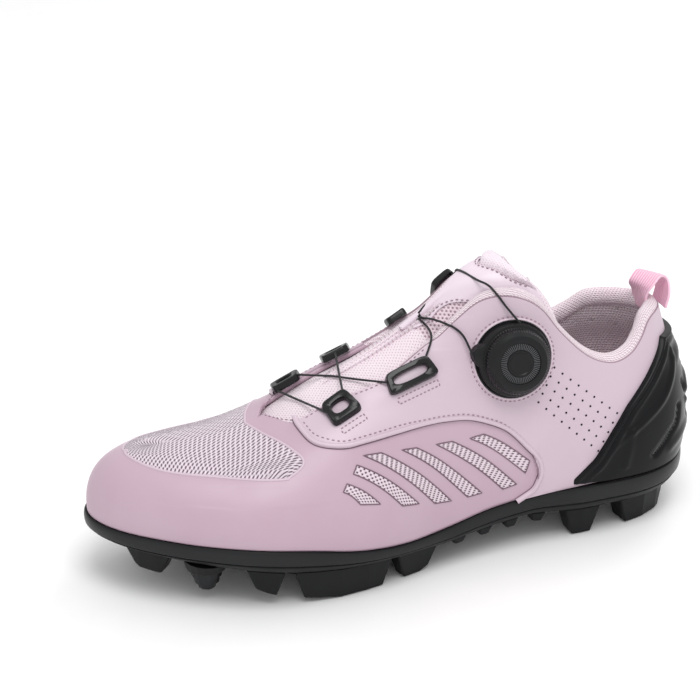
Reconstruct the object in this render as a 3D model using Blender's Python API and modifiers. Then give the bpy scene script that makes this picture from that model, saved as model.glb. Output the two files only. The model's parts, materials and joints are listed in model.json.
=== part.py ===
"""A left off-road cycling shoe, empty, standing on its sole on a floor.

Metres, +Z up. The toe points along -X, the heel along +X, the outer (lateral) side along -Y.
The floor is z = 0, and the origin is under the middle of the shoe.

Places on the shoe are given on its last: "along" runs from 0 at the heel to 1 at the toe tip,
"round" goes round the foot from the heel over the outer side to the toe and back on the inner side,
and "up" runs from 0 at the edge of the sole to 1 at the ridge of the instep.
"""

import math

import bmesh
import bpy
from mathutils import Matrix, Vector
from mathutils.bvhtree import BVHTree

for old in list(bpy.data.objects):
    bpy.data.objects.remove(old, do_unlink=True)

# Driving sizes of the last
LAST_LENGTH = 0.270
BALL_WIDTH = 0.0925
TOE_TURN = 0.0105
WELT_HEIGHT = 0.030
RISE = 0.104

# Walls and fits
GAP = 0.0003
WALL = 0.002
COLLAR_PAD = 0.0045
OVERLAY = 0.001
COUNTER_WALL = 0.0028
PANEL_FIT = 0.0005
SEAT_FIT = 0.0004
TONGUE_PAD = 0.004
INSOLE_THICK = 0.003
BED_DROP = 0.001

# Sole
WELT_LIP = 0.0040
SOLE_TUCK = 0.0045
SIDE_STEP = 0.0009
LUG_DRAFT = 0.0012
LUG_BEVEL = 0.0006
POCKET_LENGTH = 0.082
POCKET_WIDTH = 0.047
POCKET_DEPTH = 0.0024
PLATE_THICK = 0.0014
SLOT_LENGTH = 0.034
SLOT_WIDTH = 0.0062
BOLT_SPACING = 0.014
BOLT_PITCH = 0.0125
BOLT_RADIUS = 0.0047
BOLT_HEAD = 0.0030
BOLT_SOCKET = 0.0023
STUD_RADIUS = 0.0066
STUD_HEIGHT = 0.0090
BOSS_RADIUS = 0.0098

# Lacing
DIAL_RADIUS = 0.0160
DIAL_BASE = 0.0040
KNOB_RADIUS = 0.0142
KNOB_HEIGHT = 0.0072
CORD_RADIUS = 0.0007
GUIDE_HEIGHT = 0.0032
LOOP_WIDTH = 0.0125
LOOP_THICK = 0.0014
LOOP_FIT = 0.0018

# The middle of the shoe's length and width is the origin
HEEL_X = 0.4907 * LAST_LENGTH
AXIS_Y = 0.024 * BALL_WIDTH
TURN = 2.0 * math.pi

PINK = (0.62, 0.45, 0.52)
PALE_PINK = (0.72, 0.56, 0.63)
LINING_PINK = (0.80, 0.52, 0.58)
LOOP_PINK = (0.88, 0.42, 0.58)
BLACK = (0.012, 0.013, 0.015)


class Table:
    """Named columns against the share along the last, as smooth curves."""

    def __init__(self, columns, rows, odd=()):
        self.columns = columns.split()
        self.rows = rows
        self.odd = odd

    def points(self, name):
        column = self.columns.index(name)
        return [(angle_at(row[0]), row[column]) for row in self.rows]

    def at(self, name, along):
        """The value on a smooth curve that closes round the heel and the toe."""
        points = self.points(name)
        sign = -1.0 if name in self.odd else 1.0
        before = (-points[1][0], sign * points[1][1])
        after = (TURN - points[-2][0], sign * points[-2][1])
        points = [before] + points + [after]
        angle = min(max(angle_at(along), points[1][0]), points[-2][0])
        i = 1
        while i < len(points) - 3 and angle > points[i + 1][0]:
            i += 1
        (x0, y0), (x1, y1), (x2, y2), (x3, y3) = points[i - 1 : i + 3]
        h = x2 - x1
        t = (angle - x1) / h
        m1 = (y2 - y0) / (x2 - x0) * h
        m2 = (y3 - y1) / (x3 - x1) * h
        cubic = (2 * t**3 - 3 * t**2 + 1) * y1 + (t**3 - 2 * t**2 + t) * m1
        return cubic + (3 * t**2 - 2 * t**3) * y2 + (t**3 - t**2) * m2

    def line(self, name, along):
        """The value on straight runs between the rows."""
        column = self.columns.index(name)
        rows = self.rows
        if along <= rows[0][0]:
            return rows[0][column]
        for low, high in zip(rows, rows[1:]):
            if along <= high[0]:
                share = (along - low[0]) / (high[0] - low[0])
                return low[column] + share * (high[column] - low[column])
        return rows[-1][column]


def angle_at(along):
    return math.acos(max(-1.0, min(1.0, 1.0 - 2.0 * along)))


def smooth(low, high, value):
    share = max(0.0, min(1.0, (value - low) / (high - low)))
    return share * share * (3.0 - 2.0 * share)


# The last. Widths are shares of BALL_WIDTH, welt of WELT_HEIGHT, rise of RISE, centre of TOE_TURN.
# top_along is where a column of the wall ends; side, crown and upright shape its curve.
LAST = Table(
    "along centre lateral medial welt rise top_along top_lateral top_medial belly side crown upright",
    (
        (0.00, 0.00, 0.000, 0.000, 0.90, 1.000, 0.060, 0.000, 0.000, 0.090, 0.34, 0.40, 1.00),
        (0.04, 0.00, 0.250, 0.245, 0.90, 1.000, 0.088, 0.120, 0.120, 0.075, 0.34, 0.40, 1.00),
        (0.10, 0.00, 0.340, 0.330, 0.90, 1.000, 0.135, 0.180, 0.180, 0.045, 0.34, 0.40, 1.00),
        (0.20, 0.00, 0.365, 0.335, 0.90, 1.000, 0.220, 0.235, 0.235, 0.022, 0.34, 0.40, 1.00),
        (0.30, 0.00, 0.370, 0.320, 0.87, 0.980, 0.310, 0.220, 0.215, 0.010, 0.36, 0.40, 0.90),
        (0.38, 0.00, 0.385, 0.320, 0.82, 0.930, 0.385, 0.120, 0.120, 0.006, 0.40, 0.45, 0.45),
        (0.46, 0.01, 0.415, 0.350, 0.70, 0.810, 0.460, 0.020, 0.020, 0.010, 0.45, 0.55, 0.10),
        (0.54, 0.03, 0.475, 0.395, 0.68, 0.690, 0.540, 0.000, 0.000, 0.016, 0.48, 0.58, 0.00),
        (0.62, 0.06, 0.525, 0.445, 0.78, 0.565, 0.620, 0.000, 0.000, 0.014, 0.50, 0.60, 0.00),
        (0.70, 0.13, 0.536, 0.462, 0.93, 0.415, 0.700, 0.000, 0.000, 0.014, 0.52, 0.62, 0.00),
        (0.78, 0.28, 0.510, 0.436, 1.01, 0.320, 0.775, 0.000, 0.000, 0.014, 0.54, 0.64, 0.00),
        (0.86, 0.52, 0.425, 0.380, 1.04, 0.290, 0.835, 0.000, 0.000, 0.014, 0.56, 0.66, 0.00),
        (0.93, 0.76, 0.305, 0.275, 1.06, 0.280, 0.877, 0.000, 0.000, 0.014, 0.58, 0.68, 0.00),
        (1.00, 1.00, 0.000, 0.000, 1.06, 0.275, 0.900, 0.000, 0.000, 0.014, 0.60, 0.72, 0.00),
    ),
    odd=("lateral", "medial", "top_lateral", "top_medial"),
)

# How far up the wall the upper reaches: collar, eyestay and throat
EDGE = Table(
    "along lateral medial",
    (
        (0.000, 0.690, 0.690),
        (0.030, 0.695, 0.680),
        (0.055, 0.680, 0.678),
        (0.080, 0.620, 0.675),
        (0.105, 0.575, 0.665),
        (0.140, 0.555, 0.610),
        (0.175, 0.580, 0.580),
        (0.206, 0.635, 0.610),
        (0.242, 0.735, 0.690),
        (0.273, 0.840, 0.780),
        (0.305, 0.895, 0.855),
        (0.337, 0.910, 0.890),
        (0.370, 0.893, 0.885),
        (0.410, 0.840, 0.865),
        (0.450, 0.795, 0.845),
        (0.500, 0.765, 0.830),
        (0.550, 0.755, 0.825),
        (0.600, 0.785, 0.830),
        (0.650, 0.815, 0.840),
        (0.680, 0.820, 0.850),
        (0.695, 0.850, 0.860),
        (0.708, 0.930, 0.880),
        (0.718, 1.000, 0.930),
        (0.730, 1.000, 1.000),
        (1.000, 1.000, 1.000),
    ),
)
THROAT_FRONT = 0.730

# Lower edge of the raised quarter panel, and the edge of the heel counter, as shares up the wall
QUARTER = Table(
    "along low",
    (
        (0.000, 0.000),
        (0.293, 0.000),
        (0.300, 0.110),
        (0.315, 0.215),
        (0.345, 0.300),
        (0.383, 0.350),
        (0.426, 0.400),
        (0.487, 0.450),
        (0.535, 0.485),
        (0.595, 0.520),
        (0.629, 0.545),
        (0.659, 0.605),
        (0.675, 0.675),
        (0.683, 0.790),
    ),
)
COUNTER = Table(
    "along high",
    (
        (0.000, 0.560),
        (0.020, 0.570),
        (0.036, 0.575),
        (0.050, 0.535),
        (0.088, 0.440),
        (0.134, 0.335),
        (0.165, 0.235),
        (0.199, 0.115),
        (0.236, 0.035),
    ),
)

# The sole: height of its underside as a share of WELT_HEIGHT, how far its lip and its lower edge
# stand out or in as shares of WELT_LIP and SOLE_TUCK, and the tread's rise as a share of WELT_HEIGHT
SOLE = Table(
    "along base lip tuck tread",
    (
        (0.00, 0.440, 0.95, 1.2, 0.000),
        (0.10, 0.440, 0.95, 1.2, 0.000),
        (0.22, 0.460, 0.80, 1.0, 0.000),
        (0.30, 0.510, 0.25, 0.9, 0.000),
        (0.38, 0.460, 0.20, 0.9, 0.000),
        (0.46, 0.380, 0.20, 0.9, 0.000),
        (0.54, 0.430, 0.20, 0.9, 0.000),
        (0.65, 0.500, 0.20, 0.9, 0.000),
        (0.72, 0.555, 0.20, 0.9, 0.100),
        (0.78, 0.610, 0.20, 1.0, 0.235),
        (0.86, 0.670, 0.20, 1.3, 0.290),
        (0.93, 0.710, 0.20, 1.7, 0.330),
        (1.00, 0.760, 0.20, 1.9, 0.400),
    ),
)

# The tongue along its length: how deep it lies under the ridge (share of TONGUE_PAD), its half width
# (share of BALL_WIDTH), how far its wings reach down (share of RISE) and the lean of its sections
TONGUE = Table(
    "along sink width depth lean",
    (
        (0.320, 0.30, 0.275, 0.520, 50.0),
        (0.370, 0.20, 0.290, 0.430, 46.0),
        (0.420, 0.20, 0.300, 0.330, 40.0),
        (0.500, 0.15, 0.320, 0.240, 32.0),
        (0.580, 0.15, 0.320, 0.200, 26.0),
        (0.650, 0.20, 0.300, 0.170, 22.0),
        (0.690, 0.60, 0.270, 0.140, 18.0),
        (0.720, 0.95, 0.250, 0.115, 15.0),
        (0.765, 1.00, 0.220, 0.090, 12.0),
    ),
)


def lateral(along):
    return angle_at(along)


def medial(along):
    return TURN - angle_at(along)


def is_outer(round_):
    return round_ % TURN <= math.pi


def along_of(round_):
    return 0.5 - 0.5 * math.cos(round_)


def along_at(x):
    return max(0.0, min(1.0, (HEEL_X - x) / LAST_LENGTH))


def centre_y(along):
    return AXIS_Y + LAST.at("centre", along) * TOE_TURN


def foot(round_):
    """The point of the welt line, where upper and sole meet."""
    along = along_of(round_)
    side = -1.0 if is_outer(round_) else 1.0
    width = LAST.at("lateral" if side < 0 else "medial", along) * BALL_WIDTH
    height = LAST.at("welt", along) * WELT_HEIGHT
    return Vector((HEEL_X - along * LAST_LENGTH, centre_y(along) + side * width, height))


def outward(round_):
    """The direction away from the foot, level with the floor."""
    step = 1e-3
    run = foot(round_ + step) - foot((round_ - step) % TURN)
    return Vector((-run.y, run.x, 0.0)).normalized()


def crest(round_):
    """The point where a column of the wall ends, on the instep's ridge or over the ankle."""
    along = along_of(round_)
    top_along = LAST.at("top_along", along)
    side = -1.0 if is_outer(round_) else 1.0
    width = LAST.at("top_lateral" if side < 0 else "top_medial", along) * BALL_WIDTH
    height = LAST.at("welt", along) * WELT_HEIGHT + LAST.at("rise", along) * RISE
    return Vector((HEEL_X - top_along * LAST_LENGTH, centre_y(top_along) + side * width, height))


def wall_line(round_):
    """The four control points of one column of the wall."""
    along = along_of(round_)
    low = foot(round_)
    high = crest(round_)
    height = high.z - low.z
    spread = Vector((low.x - high.x, low.y - high.y, 0.0))
    upright = LAST.at("upright", along)
    crown = LAST.at("crown", along)
    first = low + Vector((0.0, 0.0, LAST.at("side", along) * height))
    first += outward(round_) * LAST.at("belly", along) * BALL_WIDTH
    second = high + spread * crown * (1.0 - upright)
    second.z -= crown * height * upright
    return low, first, second, high


def on_line(line, up):
    a, b, c, d = line
    down = 1.0 - up
    return a * down**3 + b * 3 * down**2 * up + c * 3 * down * up**2 + d * up**3


def on_wall(round_, up, out=0.0):
    """A point of the upper's outer face, or of a face that lies out from it."""
    point = on_line(wall_line(round_), up)
    if out == 0.0:
        return point
    return point + wall_normal(round_, up) * out


def wall_normal(round_, up):
    step = 2e-3
    high = min(up + step, 0.999)
    low = max(high - 2 * step, 0.0)
    line = wall_line(round_)
    rise = on_line(line, high) - on_line(line, low)
    run = on_line(wall_line(round_ + step), up) - on_line(wall_line((round_ - step) % TURN), up)
    return rise.cross(run).normalized()


def upper_edge(round_):
    along = along_of(round_)
    return min(1.0, EDGE.at("lateral" if is_outer(round_) else "medial", along))


def bed_height(x):
    return LAST.at("welt", along_at(x)) * WELT_HEIGHT - BED_DROP


def base_height(x):
    return SOLE.line("base", along_at(x)) * WELT_HEIGHT


def tread_height(x):
    return SOLE.line("tread", along_at(x)) * WELT_HEIGHT


def material(name, color, roughness, metallic=0.0):
    made = bpy.data.materials.new(name)
    made.use_nodes = True
    shader = made.node_tree.nodes["Principled BSDF"]
    shader.inputs["Base Color"].default_value = (*color, 1.0)
    shader.inputs["Roughness"].default_value = roughness
    shader.inputs["Metallic"].default_value = metallic
    return made


SHELL = material("satin_shell", PINK, 0.45)
PANEL = material("quarter_panel", PALE_PINK, 0.42)
KNIT = material("tongue_fabric", PALE_PINK, 0.8)
LINING = material("lining", LINING_PINK, 0.85)
RIBBON = material("ribbon", LOOP_PINK, 0.7)
RUBBER = material("sole_rubber", BLACK, 0.6)
PLASTIC = material("black_plastic", BLACK, 0.3)
STEEL = material("black_steel", (0.03, 0.03, 0.032), 0.35, 0.8)

parts = bpy.data.collections.new("cycling_shoe")
cutters = bpy.data.collections.new("cutters")
bpy.context.scene.collection.children.link(parts)
bpy.context.scene.collection.children.link(cutters)


def mapped_grid(columns, rows, place):
    """A grid of points, each moved to place(column, row)."""
    bm = bmesh.new()
    bmesh.ops.create_grid(bm, x_segments=columns - 1, y_segments=rows - 1, size=0.5)
    for vert in bm.verts:
        column = round((vert.co.x + 0.5) * (columns - 1))
        row = round((vert.co.y + 0.5) * (rows - 1))
        vert.co = place(column, row)
    return bm


def weld(bm):
    bmesh.ops.remove_doubles(bm, verts=bm.verts, dist=2e-6)
    bmesh.ops.dissolve_degenerate(bm, dist=1e-7, edges=bm.edges)


def face_outwards(bm):
    bm.normal_update()
    bmesh.ops.recalc_face_normals(bm, faces=bm.faces)


def add_part(name, bm, look, angle=40.0):
    mesh = bpy.data.meshes.new(name)
    bm.to_mesh(mesh)
    bm.free()
    mesh.shade_smooth()
    mesh.set_sharp_from_angle(angle=math.radians(angle))
    mesh.materials.append(look)
    obj = bpy.data.objects.new(name, mesh)
    parts.objects.link(obj)
    return obj


def close_ends(bm):
    """Caps the open ends of a tube and turns every face outwards."""
    rim = [edge for edge in bm.edges if edge.is_boundary]
    bmesh.ops.holes_fill(bm, edges=rim, sides=0)
    face_outwards(bm)


def bevelled(obj, width):
    rounding = obj.modifiers.new("rounding", "BEVEL")
    rounding.width = width
    rounding.segments = 1
    rounding.limit_method = "ANGLE"
    rounding.angle_limit = math.radians(38)
    return obj


def turned(name, profile, segments, place, look, radius=None):
    """A round solid from (radius, height) rings listed from its top centre to its bottom centre."""
    rings = len(profile) - 1
    bm = bmesh.new()
    bmesh.ops.create_uvsphere(bm, u_segments=segments, v_segments=rings, radius=1.0)
    for vert in bm.verts:
        ring = round(math.acos(max(-1.0, min(1.0, vert.co.z))) / math.pi * rings)
        turn = math.atan2(vert.co.y, vert.co.x)
        reach, height = profile[ring]
        if radius is not None:
            reach = radius(ring, turn, reach)
        vert.co = place(reach * math.cos(turn), reach * math.sin(turn), height)
    face_outwards(bm)
    return add_part(name, bm, look, 35.0)


# The columns of the upper, closer together round the throat's front
EVEN_COLUMNS = 24
FINE_COLUMNS = (0.006, 0.236, 0.293, 0.305, 0.660, 0.682, 0.695, 0.708, 0.718, THROAT_FRONT, 0.750)
UPPER_ROWS = 10


def side_alongs():
    even = [along_of(math.pi * i / EVEN_COLUMNS) for i in range(EVEN_COLUMNS + 1)]
    spaced = [a for a in even if a in (0.0, 1.0) or min(abs(a - f) for f in FINE_COLUMNS) > 0.008]
    return sorted(spaced + list(FINE_COLUMNS))


def upper_columns():
    alongs = side_alongs()
    outer = [lateral(a) for a in alongs]
    inner = [medial(a) for a in reversed(alongs[1:-1])]
    return outer + inner


def upper_wall(along, share):
    """The upper's thickness: thin, and padded under the collar's edge."""
    pad = smooth(0.55, 0.85, share) * (1.0 - smooth(0.38, 0.46, along))
    return WALL + (COLLAR_PAD - WALL) * pad


def make_upper():
    rounds = upper_columns()
    rows = UPPER_ROWS
    weights = {}

    def place(column, row):
        turn = rounds[column % len(rounds)]
        share = row / (rows - 1)
        point = on_wall(turn, upper_edge(turn) * share)
        weights[tuple(round(c, 6) for c in point)] = upper_wall(along_of(turn), share) / COLLAR_PAD
        return point

    bm = mapped_grid(len(rounds) + 1, rows, place)
    weld(bm)
    bmesh.ops.reverse_faces(bm, faces=bm.faces)
    layer = bm.verts.layers.deform.verify()
    for vert in bm.verts:
        vert[layer][0] = weights.get(tuple(round(c, 6) for c in vert.co), 1.0)
    obj = add_part("upper", bm, SHELL)
    obj.vertex_groups.new(name="thickness")
    wall = obj.modifiers.new("wall", "SOLIDIFY")
    wall.thickness = COLLAR_PAD
    wall.offset = -1.0
    wall.vertex_group = "thickness"
    wall.use_even_offset = True
    return obj


def panel_sheet(name, rounds, low, high, out, thick, look):
    """A shell that lies out from the upper on its own columns and rows, between two edges."""
    rows = UPPER_ROWS

    def place(column, row):
        turn = rounds[column]
        up = upper_edge(turn) * row / (rows - 1)
        return on_wall(turn, min(max(up, low(turn)), high(turn)), out)

    bm = mapped_grid(len(rounds), rows, place)
    weld(bm)
    bmesh.ops.reverse_faces(bm, faces=bm.faces)
    obj = add_part(name, bm, look)
    wall = obj.modifiers.new("wall", "SOLIDIFY")
    wall.thickness = thick
    wall.offset = 1.0
    wall.use_even_offset = True
    return obj


QUARTER_FRONT = 0.682
SEAM_DROP = 0.035
EYESTAY_DROP = 0.008
COUNTER_START = 0.014
COUNTER_FRONT = 0.236


def quarter_top(turn):
    along = along_of(turn)
    drop = SEAM_DROP + (EYESTAY_DROP - SEAM_DROP) * smooth(0.42, 0.46, along)
    return upper_edge(turn) - drop


def make_quarters():
    alongs = [a for a in side_alongs() if 0.0 < a <= QUARTER_FRONT]
    for side, to_round in (("lateral", lateral), ("medial", medial)):
        rounds = [to_round(a) for a in (alongs if side == "lateral" else reversed(alongs))]
        panel_sheet(
            "quarter_panel_" + side,
            rounds,
            lambda turn: QUARTER.line("low", along_of(turn)),
            quarter_top,
            PANEL_FIT,
            OVERLAY,
            PANEL,
        )


def make_counter():
    """The heel counter: a thick moulded shell round the heel, over the quarter panels."""
    rounds = [lateral(a) for a in side_alongs() if a <= COUNTER_FRONT]
    rounds = [TURN - turn for turn in reversed(rounds[1:])] + rounds
    panel_sheet(
        "heel_counter",
        rounds,
        lambda turn: COUNTER_START,
        lambda turn: COUNTER.line("high", along_of(turn)),
        2 * PANEL_FIT + OVERLAY,
        COUNTER_WALL,
        PLASTIC,
    )


def plan_point(turn, inset, height):
    """A point set in from the welt line, at the height that a function of x gives."""
    point = foot(turn) - outward(turn) * inset
    return Vector((point.x, point.y, height(point.x)))


def spine_point(turn, height):
    """The middle of the sole, for columns that run together at heel and toe."""
    along = 0.07 + 0.86 * along_of(turn)
    x = HEEL_X - along * LAST_LENGTH
    return Vector((x, centre_y(along), height(x)))


SOLE_COLUMNS = 54
RIM_INSET = 0.0036
MID_INSET = 0.0140


def sole_section(turn):
    along = along_of(turn)
    lip = SOLE.at("lip", along) * WELT_LIP
    tuck = SOLE.at("tuck", along) * SOLE_TUCK
    top = foot(turn)
    way = outward(turn)
    low_point = top + way * (lip - tuck)
    low = base_height(low_point.x)
    side = top.z - low

    def at(reach, height):
        return Vector((top.x + way.x * reach, top.y + way.y * reach, height))

    return [
        spine_point(turn, bed_height),
        plan_point(turn, MID_INSET, bed_height),
        plan_point(turn, RIM_INSET, bed_height),
        at(lip, top.z - GAP),
        at(lip + SIDE_STEP * 0.7, top.z - 0.25 * side),
        at(lip + SIDE_STEP * 0.4, top.z - 0.55 * side),
        at(lip - SIDE_STEP, top.z - 0.62 * side),
        at(lip - tuck * 0.45, low + 0.12 * side),
        Vector((low_point.x, low_point.y, low)),
        plan_point(turn, MID_INSET, base_height),
        spine_point(turn, base_height),
    ]


def make_sole():
    sections = [sole_section(TURN * i / SOLE_COLUMNS) for i in range(SOLE_COLUMNS)]
    rows = len(sections[0])
    bm = mapped_grid(SOLE_COLUMNS + 1, rows, lambda c, r: sections[c % SOLE_COLUMNS][r])
    weld(bm)
    face_outwards(bm)
    sole = add_part("sole_plate", bm, RUBBER)
    cut = sole.modifiers.new("cleat_pocket", "BOOLEAN")
    cut.operation = "DIFFERENCE"
    cut.solver = "EXACT"
    cut.object = oval_plate("pocket_cutter", POCKET_DEPTH * 2, -POCKET_DEPTH, GAP, False)
    cut.object.hide_render = True
    cut.object.display_type = "WIRE"
    parts.objects.unlink(cut.object)
    cutters.objects.link(cut.object)
    return sole


POCKET_ALONG = 0.612
BOLT_ALONG = 0.640


def pocket_frame():
    """A frame on the sole's underside: X towards the heel, Z down and out of the sole."""
    half = 0.5 * POCKET_LENGTH
    x = HEEL_X - POCKET_ALONG * LAST_LENGTH
    front = Vector((x - half, 0.0, base_height(x - half)))
    back = Vector((x + half, 0.0, base_height(x + half)))
    along = (back - front).normalized()
    down = Vector((along.z, 0.0, -along.x))
    across = down.cross(along)
    middle = (front + back) * 0.5
    middle.y = centre_y(POCKET_ALONG)
    return Matrix.Translation(middle) @ Matrix((along, across, down)).transposed().to_4x4()


POCKET = pocket_frame()


def oval_plate(name, thick, low, grow, slotted):
    """The D-ended oval of the cleat pocket, with its two slots when asked for."""
    curve = bpy.data.curves.new(name, "CURVE")
    curve.dimensions = "2D"
    curve.fill_mode = "BOTH"
    curve.extrude = thick * 0.5
    count = 40
    outline = []
    for i in range(count):
        turn = TURN * i / count
        c, s = math.cos(turn), math.sin(turn)
        x = (0.5 * POCKET_LENGTH + grow) * math.copysign(abs(c) ** 0.85, c)
        y = (0.5 * POCKET_WIDTH + grow) * math.copysign(abs(s) ** 0.7, s)
        outline.append((x, y))
    outlines = [outline]
    if slotted:
        centre = (POCKET_ALONG - BOLT_ALONG) * LAST_LENGTH + 0.5 * SLOT_LENGTH - BOLT_PITCH
        for side in (-0.5, 0.5):
            outlines.append(slot_outline(centre, side * BOLT_SPACING))
    for points in outlines:
        spline = curve.splines.new("POLY")
        spline.points.add(len(points) - 1)
        for point, (x, y) in zip(spline.points, points):
            point.co = (x, y, 0.0, 1.0)
        spline.use_cyclic_u = True
    shape = bpy.data.objects.new(name + "_curve", curve)
    parts.objects.link(shape)
    solid = bpy.data.meshes.new_from_object(shape.evaluated_get(bpy.context.evaluated_depsgraph_get()))
    bpy.data.objects.remove(shape)
    bm = bmesh.new()
    bm.from_mesh(solid)
    bmesh.ops.remove_doubles(bm, verts=bm.verts, dist=1e-6)
    bmesh.ops.translate(bm, verts=bm.verts, vec=(0.0, 0.0, low + thick * 0.5))
    bmesh.ops.transform(bm, matrix=POCKET, verts=bm.verts)
    face_outwards(bm)
    bpy.data.meshes.remove(solid)
    return add_part(name, bm, PLASTIC)


def slot_outline(x, y):
    straight = 0.5 * (SLOT_LENGTH - SLOT_WIDTH)
    points = []
    for end in (1.0, -1.0):
        for i in range(7):
            turn = math.pi * (i / 6 - 0.5)
            dx = end * (straight + 0.5 * SLOT_WIDTH * math.cos(turn))
            points.append((x + dx, y + end * 0.5 * SLOT_WIDTH * math.sin(turn)))
    return points


def make_cleat_fittings():
    oval_plate("cleat_plate", PLATE_THICK, -POCKET_DEPTH + GAP, -GAP, True)
    seat = -POCKET_DEPTH + GAP + PLATE_THICK + GAP
    start = (POCKET_ALONG - BOLT_ALONG) * LAST_LENGTH
    profile = (
        (0.0, seat + BOLT_HEAD - 0.0017),
        (BOLT_SOCKET, seat + BOLT_HEAD - 0.0017),
        (BOLT_SOCKET, seat + BOLT_HEAD),
        (BOLT_RADIUS - 0.0006, seat + BOLT_HEAD),
        (BOLT_RADIUS, seat + BOLT_HEAD - 0.0006),
        (BOLT_RADIUS, seat),
        (0.0, seat),
    )

    def hexed(ring, turn, reach):
        if ring not in (1, 2):
            return reach
        part = (turn % (math.pi / 3)) - math.pi / 6
        return reach * math.cos(math.pi / 6) / math.cos(part)

    number = 0
    for along in (0.0, 1.0):
        for across in (-0.5, 0.5):
            number += 1
            x = start - 0.5 * BOLT_PITCH + along * BOLT_PITCH
            y = across * BOLT_SPACING
            turned(
                f"cleat_bolt_{number}",
                profile,
                12,
                lambda dx, dy, z, x=x, y=y: POCKET @ Vector((x + dx, y + dy, z)),
                STEEL,
                hexed,
            )


def make_lug(name, to_round, rows, end_draft=0.004):
    """One block of the tread: rows of (along, outer inset, inner inset, reach down)."""
    first = len(rows) - 1

    def corner(row, index):
        along, outer, inner, reach = rows[index]
        lean = end_draft / LAST_LENGTH
        low_along = along + (lean if index == 0 else -lean if index == first else 0.0)
        points = []
        for bottom, inset in ((0, outer), (0, inner), (1, inner), (1, outer)):
            turn = to_round(low_along if bottom else along)
            draft = LUG_DRAFT if bottom else 0.0
            tuck = (SOLE.at("tuck", along) * SOLE_TUCK) - SOLE.at("lip", along) * WELT_LIP
            shift = inset + tuck + (draft if inset == outer else -draft)
            point = foot(turn) - outward(turn) * shift
            top = base_height(point.x) - GAP
            low = top + (tread_height(point.x) - top) * reach
            points.append(Vector((point.x, point.y, low if bottom else top)))
        return points[row % 4]

    bm = mapped_grid(len(rows), 5, lambda c, r: corner(r, c))
    weld(bm)
    close_ends(bm)
    return bevelled(add_part(name, bm, RUBBER, 30.0), LUG_BEVEL)


# Tread blocks on each side, as (along, outer inset, inner inset, reach) in metres and shares
LUGS = {
    "lug_rear": ((0.470, 0.0005, 0.0120, 0.85), (0.500, 0.0005, 0.0135, 1.0), (0.546, 0.0005, 0.0095, 1.0)),
    "lug_main": (
        (0.556, 0.0005, 0.0090, 1.0),
        (0.600, 0.0005, 0.0085, 1.0),
        (0.650, 0.0005, 0.0085, 1.0),
        (0.690, 0.0005, 0.0085, 1.0),
        (0.727, 0.0005, 0.0090, 1.0),
    ),
    "lug_front": ((0.743, 0.0005, 0.0090, 1.0), (0.770, 0.0005, 0.0085, 1.0), (0.806, 0.0005, 0.0070, 0.9)),
    "tread_bar": (
        (0.530, 0.0120, 0.0165, 0.60),
        (0.600, 0.0120, 0.0165, 0.70),
        (0.670, 0.0120, 0.0165, 0.70),
        (0.750, 0.0120, 0.0165, 0.60),
    ),
    "toe_lug": (
        (0.915, 0.0005, 0.0110, 0.95),
        (0.940, 0.0005, 0.0120, 1.0),
        (0.962, 0.0005, 0.0120, 1.0),
        (0.984, 0.0005, 0.0090, 0.9),
    ),
    "heel_lug_rear": (
        (0.022, 0.0005, 0.0105, 1.0),
        (0.050, 0.0005, 0.0120, 1.0),
        (0.085, 0.0005, 0.0130, 1.0),
        (0.138, 0.0005, 0.0130, 1.0),
    ),
    "heel_lug_front": ((0.176, 0.0005, 0.0140, 1.0), (0.208, 0.0005, 0.0150, 1.0), (0.240, 0.0005, 0.0120, 1.0)),
}
BLOCK_ALONGS = (0.275, 0.322, 0.369, 0.416)
BLOCK_LENGTH = 0.026
STUD_ALONG = 0.868
STUD_INSET = 0.0110


def make_tread():
    for side, to_round in (("lateral", lateral), ("medial", medial)):
        for name, rows in LUGS.items():
            make_lug(f"{name}_{side}", to_round, rows)
        for number, along in enumerate(BLOCK_ALONGS, 1):
            rows = ((along, 0.0003, 0.0075, 0.34), (along + BLOCK_LENGTH, 0.0003, 0.0075, 0.34))
            make_lug(f"arch_block_{number}_{side}", to_round, rows, 0.0015)
        make_stud(side, to_round)


def make_stud(side, to_round):
    turn = to_round(STUD_ALONG)
    centre = foot(turn) - outward(turn) * STUD_INSET
    top = base_height(centre.x)
    boss_low = tread_height(centre.x) + STUD_HEIGHT * 0.72

    def place(dx, dy, z):
        x = centre.x + dx
        if z == top:
            z = base_height(x) - GAP
        return Vector((x, centre.y + dy, z))

    boss = (
        (0.0, top),
        (BOSS_RADIUS, top),
        (BOSS_RADIUS - 0.0010, boss_low + 0.0008),
        (BOSS_RADIUS - 0.0018, boss_low),
        (0.0, boss_low),
    )
    turned("stud_boss_" + side, boss, 18, place, RUBBER)
    seat = boss_low - GAP
    low = seat - STUD_HEIGHT
    stud = (
        (0.0, seat),
        (STUD_RADIUS, seat),
        (STUD_RADIUS, seat - 0.30 * STUD_HEIGHT),
        (STUD_RADIUS * 0.86, seat - 0.36 * STUD_HEIGHT),
        (STUD_RADIUS * 0.82, seat - 0.66 * STUD_HEIGHT),
        (STUD_RADIUS * 0.66, seat - 0.70 * STUD_HEIGHT),
        (STUD_RADIUS * 0.58, low + 0.0005),
        (STUD_RADIUS * 0.50, low),
        (0.0, low),
    )
    turned("toe_stud_" + side, stud, 14, lambda dx, dy, z: centre + Vector((dx, dy, z - centre.z)), STEEL)


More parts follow.
